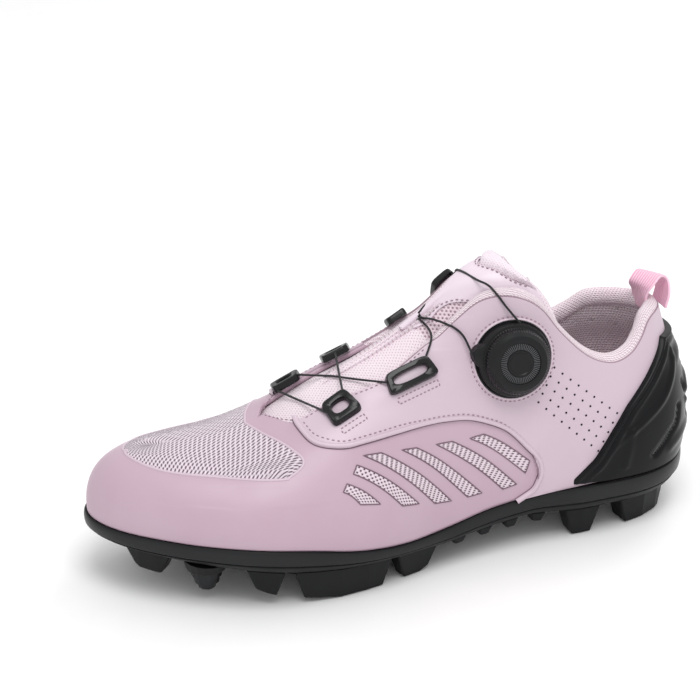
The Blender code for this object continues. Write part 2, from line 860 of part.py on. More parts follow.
def make_insole():
    columns = SOLE_COLUMNS
    inset = WALL + 0.0016

    def section(turn):
        def low(x):
            return bed_height(x) + 2 * GAP

        def high(x):
            return bed_height(x) + 2 * GAP + INSOLE_THICK

        return [
            spine_point(turn, low),
            plan_point(turn, inset + 0.004, low),
            plan_point(turn, inset + 0.0006, low),
            plan_point(turn, inset, lambda x: high(x) - 0.0006),
            plan_point(turn, inset + 0.0010, high),
            spine_point(turn, high),
        ]

    sections = [section(TURN * i / columns) for i in range(columns)]
    bm = mapped_grid(columns + 1, 6, lambda c, r: sections[c % columns][r])
    weld(bm)
    face_outwards(bm)
    return add_part("insole", bm, LINING)


def wall_tree(out, columns=96, rows=48):
    """The upper's outer face, or one out from it, for finding where a line meets it."""
    bm = mapped_grid(
        columns + 1,
        rows,
        lambda c, r: on_wall(TURN * (c % columns) / columns, 0.999 * r / (rows - 1), out),
    )
    bmesh.ops.reverse_faces(bm, faces=bm.faces)
    bm.normal_update()
    tree = BVHTree.FromBMesh(bm)
    bm.free()
    return tree


WALL_FACE = wall_tree(0.0)
PANEL_FACE = wall_tree(PANEL_FIT + GAP + OVERLAY)


def inner_half_width(point, side):
    """How far the inside of the upper is from the middle, level with a point, or None."""
    hit, normal, _, _ = WALL_FACE.ray_cast(point, Vector((0.0, side, 0.0)), 0.08)
    if hit is None:
        return None
    along = along_at(point.x)
    thick = WALL + (COLLAR_PAD - WALL) * (1.0 - smooth(0.40, 0.52, along)) + 0.0007
    return abs(hit.y - point.y) - thick / max(abs(normal.y), 0.35)


def tongue_point(along, across):
    """A point of the tongue's outer face; across runs from -1 outside to 1 inside."""
    x = HEEL_X - along * LAST_LENGTH
    sink = TONGUE.at("sink", along) * TONGUE_PAD
    ridge_z = LAST.at("welt", along) * WELT_HEIGHT + LAST.at("rise", along) * RISE - sink
    lean = math.radians(TONGUE.at("lean", along))
    swing = abs(across) * 0.5 * math.pi
    depth = TONGUE.at("depth", along) * RISE * (1.0 - math.cos(swing))
    point = Vector((x + depth * math.sin(lean), centre_y(along), ridge_z - depth * math.cos(lean)))
    width = TONGUE.at("width", along) * BALL_WIDTH * math.sin(swing)
    side = -1.0 if across < 0 else 1.0
    room = inner_half_width(point, side)
    if room is not None and across != 0.0:
        room = max(room, 0.0005)
        width = width * room / (width**6 + room**6) ** (1.0 / 6.0)
    point.y += side * width
    return point


TONGUE_TOP = 0.320
TONGUE_TOE = 0.765


def tongue_sheet():
    columns, rows = 17, 16

    def place(column, row):
        across = -1.0 + 2.0 * column / (columns - 1)
        along = TONGUE_TOE + (TONGUE_TOP - TONGUE_TOE) * row / (rows - 1)
        return tongue_point(along, across)

    bm = mapped_grid(columns, rows, place)
    weld(bm)
    bm.normal_update()
    if sum(face.normal.z for face in bm.faces) < 0:
        bmesh.ops.reverse_faces(bm, faces=bm.faces)
        bm.normal_update()
    return bm


def make_tongue():
    obj = add_part("tongue", tongue_sheet(), KNIT)
    pad = obj.modifiers.new("padding", "SOLIDIFY")
    pad.thickness = TONGUE_PAD
    pad.offset = -1.0
    return obj


def surface_frame(turn, up, out, twist=0.0):
    """A frame on the upper: Z out of it, X towards the heel along the wall, turned by twist."""
    origin = on_wall(turn, up, out)
    normal = wall_normal(turn, up)
    heelward = Vector((1.0, 0.0, 0.0))
    x = (heelward - normal * heelward.dot(normal)).normalized()
    y = normal.cross(x)
    frame = Matrix((x, y, normal)).transposed().to_4x4()
    return Matrix.Translation(origin) @ frame @ Matrix.Rotation(twist, 4, "Z")


def seated(frame, tree, x, y, height):
    """A point of the frame at that height over the face below it."""
    top = frame @ Vector((x, y, 0.02))
    down = -(frame.to_3x3() @ Vector((0.0, 0.0, 1.0)))
    hit = tree.ray_cast(top, down, 0.06)[0]
    if hit is None:
        return frame @ Vector((x, y, height))
    return hit - down * height


DIAL_TURN = lateral(0.329)
DIAL_UP = 0.610


def make_dial():
    frame = surface_frame(DIAL_TURN, DIAL_UP, OVERLAY + PANEL_FIT + GAP)
    top = DIAL_BASE
    base = (
        (0.0, top),
        (DIAL_RADIUS * 0.90, top),
        (DIAL_RADIUS, top - 0.0010),
        (DIAL_RADIUS, -1.0),
        (DIAL_RADIUS * 0.72, -1.0),
        (DIAL_RADIUS * 0.36, -1.0),
        (0.0, -1.0),
    )

    def place(x, y, z):
        if z == -1.0:
            return seated(frame, PANEL_FACE, x, y, SEAT_FIT)
        return frame @ Vector((x, y, z))

    turned("dial_base", base, 28, place, PLASTIC)
    low = top + GAP
    knob = (
        (0.0, low + KNOB_HEIGHT),
        (KNOB_RADIUS * 0.80, low + KNOB_HEIGHT),
        (KNOB_RADIUS * 0.92, low + KNOB_HEIGHT - 0.0010),
        (KNOB_RADIUS, low + KNOB_HEIGHT * 0.62),
        (KNOB_RADIUS, low),
        (0.0, low),
    )
    turned("dial_knob", knob, 28, lambda x, y, z: frame @ Vector((x, y, z)), PLASTIC)


# Lace guides: side, along, up, half length, half width, twist in degrees
GUIDES = {
    "guide_front_lateral": (lateral, 0.618, 0.735, 0.0068, 0.0062, 18.0),
    "guide_middle_lateral": (lateral, 0.503, 0.685, 0.0110, 0.0050, 14.0),
    "guide_front_medial": (medial, 0.662, 0.850, 0.0066, 0.0042, -16.0),
    "guide_middle_medial": (medial, 0.580, 0.840, 0.0066, 0.0042, -16.0),
    "guide_upper_medial": (medial, 0.478, 0.850, 0.0050, 0.0036, -14.0),
    "guide_top_medial": (medial, 0.385, 0.830, 0.0062, 0.0050, -14.0),
}
GUIDE_BAND = 0.0024
GUIDE_CORNER = 0.55


def guide_frame(name):
    to_round, along, up, _, _, twist = GUIDES[name]
    return surface_frame(to_round(along), up, OVERLAY + PANEL_FIT + GAP, math.radians(twist))


def make_guide(name):
    """A lace guide: a rounded frame round a window, seated on the eyestay."""
    _, _, _, half_long, half_wide, _ = GUIDES[name]
    frame = guide_frame(name)
    segments = 16

    def ring_point(column, row):
        turn = TURN * (column % segments) / segments
        c, s = math.cos(turn), math.sin(turn)
        band = GUIDE_BAND if row % 4 in (1, 2) else 0.0
        x = (half_long - band) * math.copysign(abs(c) ** GUIDE_CORNER, c)
        y = (half_wide - band) * math.copysign(abs(s) ** GUIDE_CORNER, s)
        if row % 4 in (2, 3):
            return frame @ Vector((x, y, GUIDE_HEIGHT))
        return seated(frame, PANEL_FACE, x, y, SEAT_FIT)

    bm = mapped_grid(segments + 1, 5, ring_point)
    weld(bm)
    face_outwards(bm)
    return add_part(name, bm, PLASTIC)


def make_cord(name, stops, lift=0.0, steps=7):
    """A lace: a thin tube pulled taut between its stops, over the panels and the throat."""
    curve = bpy.data.curves.new(name, "CURVE")
    curve.dimensions = "3D"
    curve.bevel_depth = CORD_RADIUS
    curve.bevel_resolution = 2
    curve.use_fill_caps = True
    path = [stops[0]]
    for start, end in zip(stops, stops[1:]):
        path += [taut_point(start, end, i / steps, lift) for i in range(1, steps + 1)]
    spline = curve.splines.new("POLY")
    spline.points.add(len(path) - 1)
    for point, place in zip(spline.points, path):
        point.co = (*place, 1.0)
    curve.materials.append(PLASTIC)
    obj = bpy.data.objects.new(name, curve)
    parts.objects.link(obj)
    return obj


CORD_REACH = 0.012
TONGUE_FACE = BVHTree.FromBMesh(tongue_sheet())


def taut_point(start, end, share, lift):
    """A point on the straight run, or where panel or tongue would be in its way, just over them."""
    point = start.lerp(end, share)
    clear = CORD_RADIUS + 2 * GAP + lift * math.sin(math.pi * share)
    for face in (PANEL_FACE, TONGUE_FACE):
        hit, normal, _, distance = face.find_nearest(point)
        if distance < CORD_REACH and (point - hit).dot(normal) < clear:
            point = hit + normal * clear
    return point


def smooth_path(points, steps):
    """Points read from a smooth curve through the given ones."""
    ends = [points[0] * 2 - points[1]] + list(points) + [points[-1] * 2 - points[-2]]
    path = []
    for a, b, c, d in zip(ends, ends[1:], ends[2:], ends[3:]):
        for i in range(steps // (len(points) - 1)):
            t = i / (steps // (len(points) - 1))
            curve = b * 2 + (c - a) * t + (a * 2 - b * 5 + c * 4 - d) * t * t
            path.append((curve + (b * 3 - a - c * 3 + d) * t**3) * 0.5)
    path.append(points[-1])
    return path


PORT_HEIGHT = 0.6 * GUIDE_HEIGHT
FRONT_PORT = 0.60
MIDDLE_PORT = 0.73
CROSS_LIFT = 0.0035
EXIT_SHIFT = 0.0025
HEEL_SHIFT = 0.014


def port(name, share):
    """Where a cord leaves a guide: a share of its half length, just clear of its edge on the tongue's side."""
    to_round, _, _, half_long, half_wide, _ = GUIDES[name]
    side = 1.0 if to_round is lateral else -1.0
    c = abs(share) ** (1.0 / GUIDE_CORNER)
    edge = half_wide * math.sqrt(1.0 - c * c) ** GUIDE_CORNER
    return guide_frame(name) @ Vector((share * half_long, side * (edge + CORD_RADIUS + GAP), PORT_HEIGHT))


def make_laces():
    front_l, front_m = "guide_front_lateral", "guide_front_medial"
    middle_l, middle_m = "guide_middle_lateral", "guide_middle_medial"
    dial = surface_frame(DIAL_TURN, DIAL_UP, OVERLAY + PANEL_FIT + GAP)
    reach = DIAL_RADIUS + CORD_RADIUS + GAP
    toe_exit = dial @ Vector((-reach, EXIT_SHIFT, DIAL_BASE))
    top_exit = dial @ Vector((EXIT_SHIFT, reach, DIAL_BASE))
    slit = on_wall(lateral(0.455), 0.93, OVERLAY + PANEL_FIT + CORD_RADIUS + 2 * GAP)
    make_cord("lace_1", [port(front_m, -FRONT_PORT), port(front_l, -FRONT_PORT)])
    make_cord("lace_2", [port(middle_m, 0.0), port(front_l, FRONT_PORT)])
    make_cord("lace_3", [port(front_m, FRONT_PORT), port(middle_l, -MIDDLE_PORT)], CROSS_LIFT)
    make_cord("lace_4", [port(middle_l, MIDDLE_PORT), slit, toe_exit])
    top_m = "guide_top_medial"
    run = GUIDES[top_m][1] - HEEL_SHIFT
    over = [tongue_point(run, across) for across in (0.45, 0.15, -0.15, -0.45)]
    make_cord("lace_5", [port(top_m, FRONT_PORT), *over, top_exit], steps=3)


def make_pull_loop():
    """A folded ribbon over the back of the collar, one leg inside and one outside."""
    turn = 0.0
    top = upper_edge(turn)
    outside = on_wall(turn, top - 0.05, PANEL_FIT + GAP * 3 + OVERLAY)
    crown = on_wall(turn, top, 0.0)
    inside = on_wall(turn, top - 0.03, -(COLLAR_PAD + LOOP_FIT))
    rise = 0.0105
    spread = 0.0045
    path = [
        outside,
        Vector((outside.x + 0.0012, outside.y, crown.z + 0.0025)),
        Vector((crown.x + spread * 0.9, crown.y, crown.z + rise * 0.75)),
        Vector((crown.x - COLLAR_PAD * 0.5, crown.y, crown.z + rise)),
        Vector((inside.x - spread * 0.5, inside.y, crown.z + rise * 0.75)),
        Vector((inside.x - 0.0010, inside.y, crown.z + 0.0025)),
        inside,
    ]
    path = smooth_path(path, 12)

    def heel_x(y):
        start = Vector((2.0 * HEEL_X, crown.y + y, crown.z - 0.003))
        return WALL_FACE.ray_cast(start, Vector((-1.0, 0.0, 0.0)))[0].x

    def place(column, row):
        y = (row / 4 - 0.5) * LOOP_WIDTH
        return path[column] + Vector((heel_x(y) - heel_x(0.0), y, 0.0))

    bm = mapped_grid(len(path), 5, place)
    obj = add_part("pull_loop", bm, RIBBON)
    ribbon = obj.modifiers.new("ribbon", "SOLIDIFY")
    ribbon.thickness = LOOP_THICK
    ribbon.offset = -1.0
    return obj


make_upper()
make_quarters()
make_counter()
make_sole()
make_cleat_fittings()
make_tread()
make_insole()
make_tongue()
make_dial()
for guide in GUIDES:
    make_guide(guide)
make_laces()
make_pull_loop()
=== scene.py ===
# %% [markdown]
# # A left cycling shoe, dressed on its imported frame
# The solids already stand at their real size. This lesson gives each of them the surface that the
# real shoe has: a satin synthetic upper, knitted mesh, padded edges, moulded rubber and stitches.
# Lengths are metres, the toe points along -X, the outer side along -Y and the floor is z = 0.

# %% Load the frame
import json
import math

import bmesh
import bpy
import numpy as np
from mathutils import Matrix, Vector
from mathutils.bvhtree import BVHTree
from mathutils.kdtree import KDTree


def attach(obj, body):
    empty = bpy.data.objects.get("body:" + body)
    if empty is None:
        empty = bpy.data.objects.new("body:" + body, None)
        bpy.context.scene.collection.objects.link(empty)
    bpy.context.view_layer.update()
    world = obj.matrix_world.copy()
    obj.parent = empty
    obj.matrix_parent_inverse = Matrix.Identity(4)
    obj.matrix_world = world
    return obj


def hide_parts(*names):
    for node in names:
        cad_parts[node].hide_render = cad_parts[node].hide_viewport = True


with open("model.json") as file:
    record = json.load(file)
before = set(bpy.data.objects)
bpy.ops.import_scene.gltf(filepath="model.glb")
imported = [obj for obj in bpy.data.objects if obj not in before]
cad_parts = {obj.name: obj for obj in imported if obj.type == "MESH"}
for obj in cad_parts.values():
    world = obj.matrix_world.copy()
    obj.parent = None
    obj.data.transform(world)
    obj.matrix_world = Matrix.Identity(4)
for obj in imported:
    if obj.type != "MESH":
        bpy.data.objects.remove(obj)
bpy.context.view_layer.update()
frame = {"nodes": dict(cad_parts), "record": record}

# %% [markdown]
# ## The last
# A shoe is made on a last, a solid foot shape, and every panel of the upper lies on it. So the last is
# written as one function, and each panel only says where on it it starts and ends. Places are given
# as "along", the share from heel to toe, and "up", the share from the sole's edge to the instep's
# ridge. The widths are shares of a few named sizes, as they are in the solids.

# %% The last's sizes and sections
LAST_LENGTH = 0.270
BALL_WIDTH = 0.0925
TOE_TURN = 0.0105
WELT_HEIGHT = 0.030
RISE = 0.104
HEEL_X = 0.4907 * LAST_LENGTH
AXIS_Y = 0.024 * BALL_WIDTH
TURN = 2.0 * math.pi
MM = 0.001

LAST_COLUMNS = (
    "along centre lateral medial welt rise top_along top_lateral top_medial belly side crown upright"
)
LAST = (
    (0.00, 0.00, 0.000, 0.000, 0.90, 1.000, 0.060, 0.000, 0.000, 0.090, 0.34, 0.40, 1.00),
    (0.04, 0.00, 0.250, 0.245, 0.90, 1.000, 0.088, 0.120, 0.120, 0.075, 0.34, 0.40, 1.00),
    (0.10, 0.00, 0.340, 0.330, 0.90, 1.000, 0.135, 0.180, 0.180, 0.045, 0.34, 0.40, 1.00),
    (0.20, 0.00, 0.365, 0.335, 0.90, 1.000, 0.220, 0.235, 0.235, 0.022, 0.34, 0.40, 1.00),
    (0.30, 0.00, 0.370, 0.320, 0.87, 0.980, 0.310, 0.220, 0.215, 0.010, 0.36, 0.40, 0.90),
    (0.38, 0.00, 0.385, 0.320, 0.82, 0.930, 0.385, 0.120, 0.120, 0.006, 0.40, 0.45, 0.45),
    (0.46, 0.01, 0.415, 0.350, 0.70, 0.810, 0.460, 0.020, 0.020, 0.010, 0.45, 0.55, 0.10),
    (0.54, 0.03, 0.475, 0.395, 0.68, 0.690, 0.540, 0.000, 0.000, 0.016, 0.48, 0.58, 0.00),
    (0.62, 0.06, 0.525, 0.445, 0.78, 0.565, 0.620, 0.000, 0.000, 0.014, 0.50, 0.60, 0.00),
    (0.70, 0.13, 0.536, 0.462, 0.93, 0.415, 0.700, 0.000, 0.000, 0.014, 0.52, 0.62, 0.00),
    (0.78, 0.28, 0.510, 0.436, 1.01, 0.320, 0.775, 0.000, 0.000, 0.014, 0.54, 0.64, 0.00),
    (0.86, 0.52, 0.425, 0.380, 1.04, 0.290, 0.835, 0.000, 0.000, 0.014, 0.56, 0.66, 0.00),
    (0.93, 0.76, 0.305, 0.275, 1.06, 0.280, 0.877, 0.000, 0.000, 0.014, 0.58, 0.68, 0.00),
    (1.00, 1.00, 0.000, 0.000, 1.06, 0.275, 0.900, 0.000, 0.000, 0.014, 0.60, 0.72, 0.00),
)
EDGE_COLUMNS = "along lateral medial"
EDGE = (
    (0.000, 0.690, 0.690),
    (0.030, 0.695, 0.680),
    (0.055, 0.680, 0.678),
    (0.080, 0.620, 0.675),
    (0.105, 0.575, 0.665),
    (0.140, 0.555, 0.610),
    (0.175, 0.580, 0.580),
    (0.206, 0.635, 0.610),
    (0.242, 0.735, 0.690),
    (0.273, 0.840, 0.780),
    (0.305, 0.895, 0.855),
    (0.337, 0.910, 0.890),
    (0.370, 0.893, 0.885),
    (0.410, 0.840, 0.865),
    (0.450, 0.795, 0.845),
    (0.500, 0.765, 0.830),
    (0.550, 0.755, 0.825),
    (0.600, 0.785, 0.830),
    (0.650, 0.815, 0.840),
    (0.680, 0.820, 0.850),
    (0.695, 0.850, 0.860),
    (0.708, 0.930, 0.880),
    (0.718, 1.000, 0.930),
    (0.730, 1.000, 1.000),
    (1.000, 1.000, 1.000),
)
ODD = ("lateral", "medial", "top_lateral", "top_medial")
print("last", LAST_LENGTH, "m long,", BALL_WIDTH, "m wide at the ball,", len(LAST), "sections")

# %% [markdown]
# ## Smooth curves through the tables
# A pattern maker draws a fair curve through a few measured marks. A curve object could do that, but the same
# curves are needed as numbers everywhere below, so they are worked out straight from the tables. They are
# taken over the angle round the foot, which closes them smoothly at the heel and at the toe.

# %% Smooth curves through the tables


def angle_at(along):
    return np.arccos(np.clip(1.0 - 2.0 * np.asarray(along, float), -1.0, 1.0))


def table_curve(rows, columns, name, along, odd=()):
    """A smooth curve through one column, closed round the heel and the toe."""
    rows = np.array(rows)
    x = angle_at(rows[:, 0])
    y = rows[:, columns.split().index(name)]
    sign = -1.0 if name in odd else 1.0
    x = np.concatenate([[-x[1]], x, [TURN - x[-2]]])
    y = np.concatenate([[sign * y[1]], y, [sign * y[-2]]])
    a = np.clip(angle_at(along), x[1], x[-2])
    i = np.clip(np.searchsorted(x, a, side="left") - 1, 1, len(x) - 3)
    h = x[i + 1] - x[i]
    t = (a - x[i]) / h
    m1 = (y[i + 1] - y[i - 1]) / (x[i + 1] - x[i - 1]) * h
    m2 = (y[i + 2] - y[i]) / (x[i + 2] - x[i]) * h
    near = (2 * t**3 - 3 * t**2 + 1) * y[i] + (t**3 - 2 * t**2 + t) * m1
    return near + (3 * t**2 - 2 * t**3) * y[i + 1] + (t**3 - t**2) * m2


def last(name, along):
    return table_curve(LAST, LAST_COLUMNS, name, along, ODD)


def smooth(low, high, value):
    share = np.clip((np.asarray(value, float) - low) / (high - low), 0.0, 1.0)
    return share * share * (3.0 - 2.0 * share)


def bump(distance, width):
    """A soft swelling that is 1 at distance 0 and 0 past the width."""
    return 1.0 - smooth(0.0, width, np.abs(distance))


def smooth_line(places, steps=12):
    """Points read from a smooth curve through given ones."""
    p = np.array(places, float)
    p = np.concatenate([[2 * p[0] - p[1]], p, [2 * p[-1] - p[-2]]])
    t = np.linspace(0.0, 1.0, steps, endpoint=False)[:, None]
    line = []
    for a, b, c, d in zip(p, p[1:], p[2:], p[3:]):
        square = (2 * a - 5 * b + 4 * c - d) * t**2
        cube = (3 * b - a - 3 * c + d) * t**3
        line.append(0.5 * (2 * b + (c - a) * t + square + cube))
    return np.concatenate(line + [p[-2:-1]])


print("half width at the ball", round(float(last("lateral", 0.62)) * BALL_WIDTH, 4), "m")

# %% [markdown]
# ## From places on the last to points in space
# Round the foot a place is an angle, from the heel along the outer side to the toe and back along the inner
# one. From the welt line, where upper and sole meet, the wall rises to the ridge of the instep as one cubic
# Bezier curve, so a few numbers give its belly and its crown. Normals are measured between close points.

# %% From places on the last to points in space


def turn_of(along, side=1):
    """The angle round the foot: side 1 is the outer side and -1 the inner one."""
    angle = angle_at(along)
    return angle if side > 0 else TURN - angle


def along_of(turn):
    return 0.5 - 0.5 * np.cos(turn)


def side_of(turn):
    return np.where(np.mod(turn, TURN) <= math.pi, -1.0, 1.0)


def centre_y(along):
    return AXIS_Y + last("centre", along) * TOE_TURN


def foot(turn):
    """The welt line, where upper and sole meet."""
    along = along_of(turn)
    side = side_of(turn)
    width = np.where(side < 0, last("lateral", along), last("medial", along)) * BALL_WIDTH
    height = last("welt", along) * WELT_HEIGHT
    return np.stack([HEEL_X - along * LAST_LENGTH, centre_y(along) + side * width, height], -1)


def outward(turn):
    run = foot(turn + 1e-3) - foot(np.mod(turn - 1e-3, TURN))
    way = np.stack([-run[..., 1], run[..., 0], 0 * run[..., 0]], -1)
    return way / np.linalg.norm(way, axis=-1, keepdims=True)


def crest(turn):
    along = along_of(turn)
    top = last("top_along", along)
    side = side_of(turn)
    width = np.where(side < 0, last("top_lateral", along), last("top_medial", along)) * BALL_WIDTH
    height = last("welt", along) * WELT_HEIGHT + last("rise", along) * RISE
    return np.stack([HEEL_X - top * LAST_LENGTH, centre_y(top) + side * width, height], -1)


def wall_controls(turn):
    along = along_of(turn)[..., None]
    low = foot(turn)
    high = crest(turn)
    height = (high - low)[..., 2:]
    level = np.array([1.0, 1.0, 0.0])
    up_way = np.array([0.0, 0.0, 1.0])
    first = low + up_way * last("side", along) * height
    first = first + outward(turn) * last("belly", along) * BALL_WIDTH
    crown, upright = last("crown", along), last("upright", along)
    second = high + (low - high) * level * crown * (1.0 - upright)
    return low, first, second - up_way * crown * height * upright, high


def bezier(controls, up):
    a, b, c, d = controls
    t = np.asarray(up, float)[..., None]
    s = 1.0 - t
    return a * s**3 + b * 3 * s**2 * t + c * 3 * s * t**2 + d * t**3


NORMAL_STEP = 2e-3
RIDGE_STOP = 0.992
RIDGE_LEVEL = 0.985


def wall_normal(turn, up):
    """The way out of the wall, measured between close points and kept off the ridge itself."""
    step = NORMAL_STEP
    high = np.clip(np.asarray(up, float) + step, 2 * step, RIDGE_STOP)
    controls = wall_controls(turn)
    rise = bezier(controls, high) - bezier(controls, high - 2 * step)
    level = np.clip(up, 0.0, RIDGE_LEVEL)
    run = bezier(wall_controls(turn + step), level) - bezier(wall_controls(np.mod(turn - step, TURN)), level)
    normal = np.cross(rise, run)
    return normal / np.linalg.norm(normal, axis=-1, keepdims=True)


def wall(turn, up, out=0.0):
    """Points of the upper's face, or of a face that lies out from it by a height or an array of them."""
    turn = np.asarray(turn, float)
    points = bezier(wall_controls(turn), up)
    if np.ndim(out) == 0 and out == 0.0:
        return points
    return points + wall_normal(turn, up) * np.asarray(out, float)[..., None]


def upper_edge(turn):
    along = along_of(turn)
    lateral = table_curve(EDGE, EDGE_COLUMNS, "lateral", along)
    medial = table_curve(EDGE, EDGE_COLUMNS, "medial", along)
    return np.minimum(1.0, np.where(side_of(turn) < 0, lateral, medial))


print("last", np.round(foot(np.array([0.0, math.pi])), 3))

# %% [markdown]
# ## Sheets
# Nearly every part of an upper is cut from sheet. A grid from bmesh is the natural start: its vertices are
# moved onto the last, a UV map keeps real millimetres so that weaves come out at their true scale,
# and Solidify gives it the thickness of the material.

# %% Sheets and other pieces


def sheet(name, points, uv, closed=False):
    """A mesh grid on points[column, row], with a UV map in metres."""
    columns, rows = points.shape[:2]
    bm = bmesh.new()
    bmesh.ops.create_grid(bm, x_segments=columns - 1, y_segments=rows - 1, size=0.5)
    mesh = bpy.data.meshes.new(name)
    bm.to_mesh(mesh)
    bm.free()
    place = np.empty(len(mesh.vertices) * 3)
    mesh.vertices.foreach_get("co", place)
    place = place.reshape(-1, 3)
    column = np.rint((place[:, 0] + 0.5) * (columns - 1)).astype(int)
    row = np.rint((place[:, 1] + 0.5) * (rows - 1)).astype(int)
    mesh.vertices.foreach_set("co", points[column, row].astype(float).ravel())
    corners = np.empty(len(mesh.loops), int)
    mesh.loops.foreach_get("vertex_index", corners)
    layer = mesh.uv_layers.new(name="UVMap")
    layer.data.foreach_set("uv", uv[column[corners], row[corners]].astype(float).ravel())
    bm = bmesh.new()
    bm.from_mesh(mesh)
    bpy.data.meshes.remove(mesh)
    bmesh.ops.remove_doubles(bm, verts=bm.verts, dist=2e-6)
    bmesh.ops.dissolve_degenerate(bm, dist=1e-7, edges=bm.edges)
    return bm


def travelled(points, axis):
    """Distance run along one axis of a grid of points, for UV maps in metres."""
    steps = np.linalg.norm(np.diff(points, axis=axis), axis=-1)
    start = np.zeros_like(np.take(steps, [0], axis=axis))
    return np.concatenate([start, np.cumsum(steps, axis=axis)], axis=axis)


def metre_uv(points):
    return np.stack([travelled(points, 0), travelled(points, 1)], -1)


def grid_normals(points):
    normal = np.cross(np.gradient(points, axis=0), np.gradient(points, axis=1))
    size = np.linalg.norm(normal, axis=-1, keepdims=True)
    return normal / np.maximum(size, 1e-12)


print("round the welt", round(float(travelled(foot(np.linspace(0.0, TURN, 200)), 0)[-1]), 3), "m")

# %% [markdown]
# ## Finished pieces
# A factory trims, joins and rounds each piece that it has cut. Here one helper makes the object, shades it
# smooth with sharp edges where it turns hard, gives it its materials, tells the frame which body it rides
# on and hides the solid it stands for. Solidify and Bevel stay live as modifiers, so the sheets stay simple.

# %% Finished pieces


SMOOTH_ANGLE = 35.0


def piece(name, bm, looks, node=None, smooth_angle=SMOOTH_ANGLE):
    """A finished object from a bmesh: materials, shading, the body it rides on and the solid it replaces."""
    mesh = bpy.data.meshes.new(name)
    bm.to_mesh(mesh)
    bm.free()
    mesh.shade_smooth()
    mesh.set_sharp_from_angle(angle=math.radians(smooth_angle))
    for look in looks:
        mesh.materials.append(look)
    obj = bpy.data.objects.new(name, mesh)
    bpy.context.scene.collection.objects.link(obj)
    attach(obj, "root")
    if node:
        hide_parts(node)
    print(name, len(mesh.polygons), "faces")
    return obj


def thicken(obj, thickness, offset=1.0, inside=0, even=True):
    wall_ = obj.modifiers.new("thickness", "SOLIDIFY")
    wall_.thickness = thickness
    wall_.offset = offset
    wall_.use_even_offset = even
    wall_.material_offset = inside
    return obj


def round_edges(obj, width, segments=2, angle=40.0):
    edge = obj.modifiers.new("rounding", "BEVEL")
    edge.width = width
    edge.segments = segments
    edge.limit_method = "ANGLE"
    edge.angle_limit = math.radians(angle)
    edge.harden_normals = False
    return obj


def uv_of(values):
    return np.stack([values, values], -1)


def join(bm, part, way):
    """Add a sheet to a bmesh, with its faces turned to that way."""
    part.normal_update()
    if sum(face.normal.dot(Vector(way)) for face in part.faces) < 0:
        bmesh.ops.reverse_faces(part, faces=part.faces)
    mesh = bpy.data.meshes.new("joined")
    part.to_mesh(mesh)
    part.free()
    bm.from_mesh(mesh)
    bpy.data.meshes.remove(mesh)


def face_outwards(bm):
    bm.normal_update()
    bmesh.ops.recalc_face_normals(bm, faces=bm.faces)


def flip(bm):
    bmesh.ops.reverse_faces(bm, faces=bm.faces)
    return bm


def face_up(bm):
    """Turn an open sheet's faces upwards."""
    bm.normal_update()
    if sum(face.normal.z for face in bm.faces) < 0:
        flip(bm)
    return bm


print("edges stay sharp past", SMOOTH_ANGLE, "degrees")

# %% [markdown]
# ## Finishes
# Each finish is a Principled BSDF, with colour, roughness and relief driven by patterns in real millimetres.
# A node tree takes many lines when every socket is joined by hand, so one small class places a node, sets
# its values and joins its inputs in a single call.

# %% A short way to join shader nodes


MIX_SHARE, MIX_A, MIX_B, MIX_OUT = 0, 6, 7, 2


class Tree:
    """A short way to place and join shader nodes."""

    def __init__(self, tree):
        self.tree = tree

    def add(self, kind, **values):
        node = self.tree.nodes.new(kind)
        for name, value in values.items():
            setattr(node, name, value)
        return node

    def feed(self, node, name, value):
        socket = node.inputs[name]
        if isinstance(value, bpy.types.NodeSocket):
            self.tree.links.new(value, socket)
        else:
            socket.default_value = value

    def math(self, operation, a, b=0.0, c=0.0):
        node = self.add("ShaderNodeMath", operation=operation)
        for index, value in enumerate((a, b, c)):
            self.feed(node, index, value)
        return node.outputs[0]

    def range(self, value, low, high, to_low=0.0, to_high=1.0):
        node = self.add("ShaderNodeMapRange", interpolation_type="SMOOTHSTEP")
        for index, one in enumerate((value, low, high, to_low, to_high)):
            self.feed(node, index, one)
        return node.outputs[0]

    def mix(self, share, a, b):
        node = self.add("ShaderNodeMix", data_type="RGBA")
        self.feed(node, MIX_SHARE, share)
        self.feed(node, MIX_A, a)
        self.feed(node, MIX_B, b)
        return node.outputs[MIX_OUT]

    def noise(self, vector, scale, detail=2.0, rough=0.5):
        node = self.add("ShaderNodeTexNoise")
        self.feed(node, "Vector", vector)
        self.feed(node, "Scale", scale)
        self.feed(node, "Detail", detail)
        self.feed(node, "Roughness", rough)
        return node.outputs[0]


print("a colour mix reads its inputs", MIX_A, "and", MIX_B)

# %% [markdown]
# ## Patterns
# Two patterns serve many finishes, so they are node groups with their own values in each material: a grain
# of soft pebbles for coated leather and moulded plastic, and a lattice of holes for knits, meshes and
# perforations. Both put out only masks and heights, so each finish decides what they colour or raise.

# %% Node groups


def new_group(name, inputs, outputs):
    group = bpy.data.node_groups.new(name, "ShaderNodeTree")
    for label, kind, value in inputs:
        socket = group.interface.new_socket(label, in_out="INPUT", socket_type=kind)
        if value is not None:
            socket.default_value = value
    for label in outputs:
        group.interface.new_socket(label, in_out="OUTPUT", socket_type="NodeSocketFloat")
    tree = Tree(group)
    return group, tree, tree.add("NodeGroupInput"), tree.add("NodeGroupOutput")


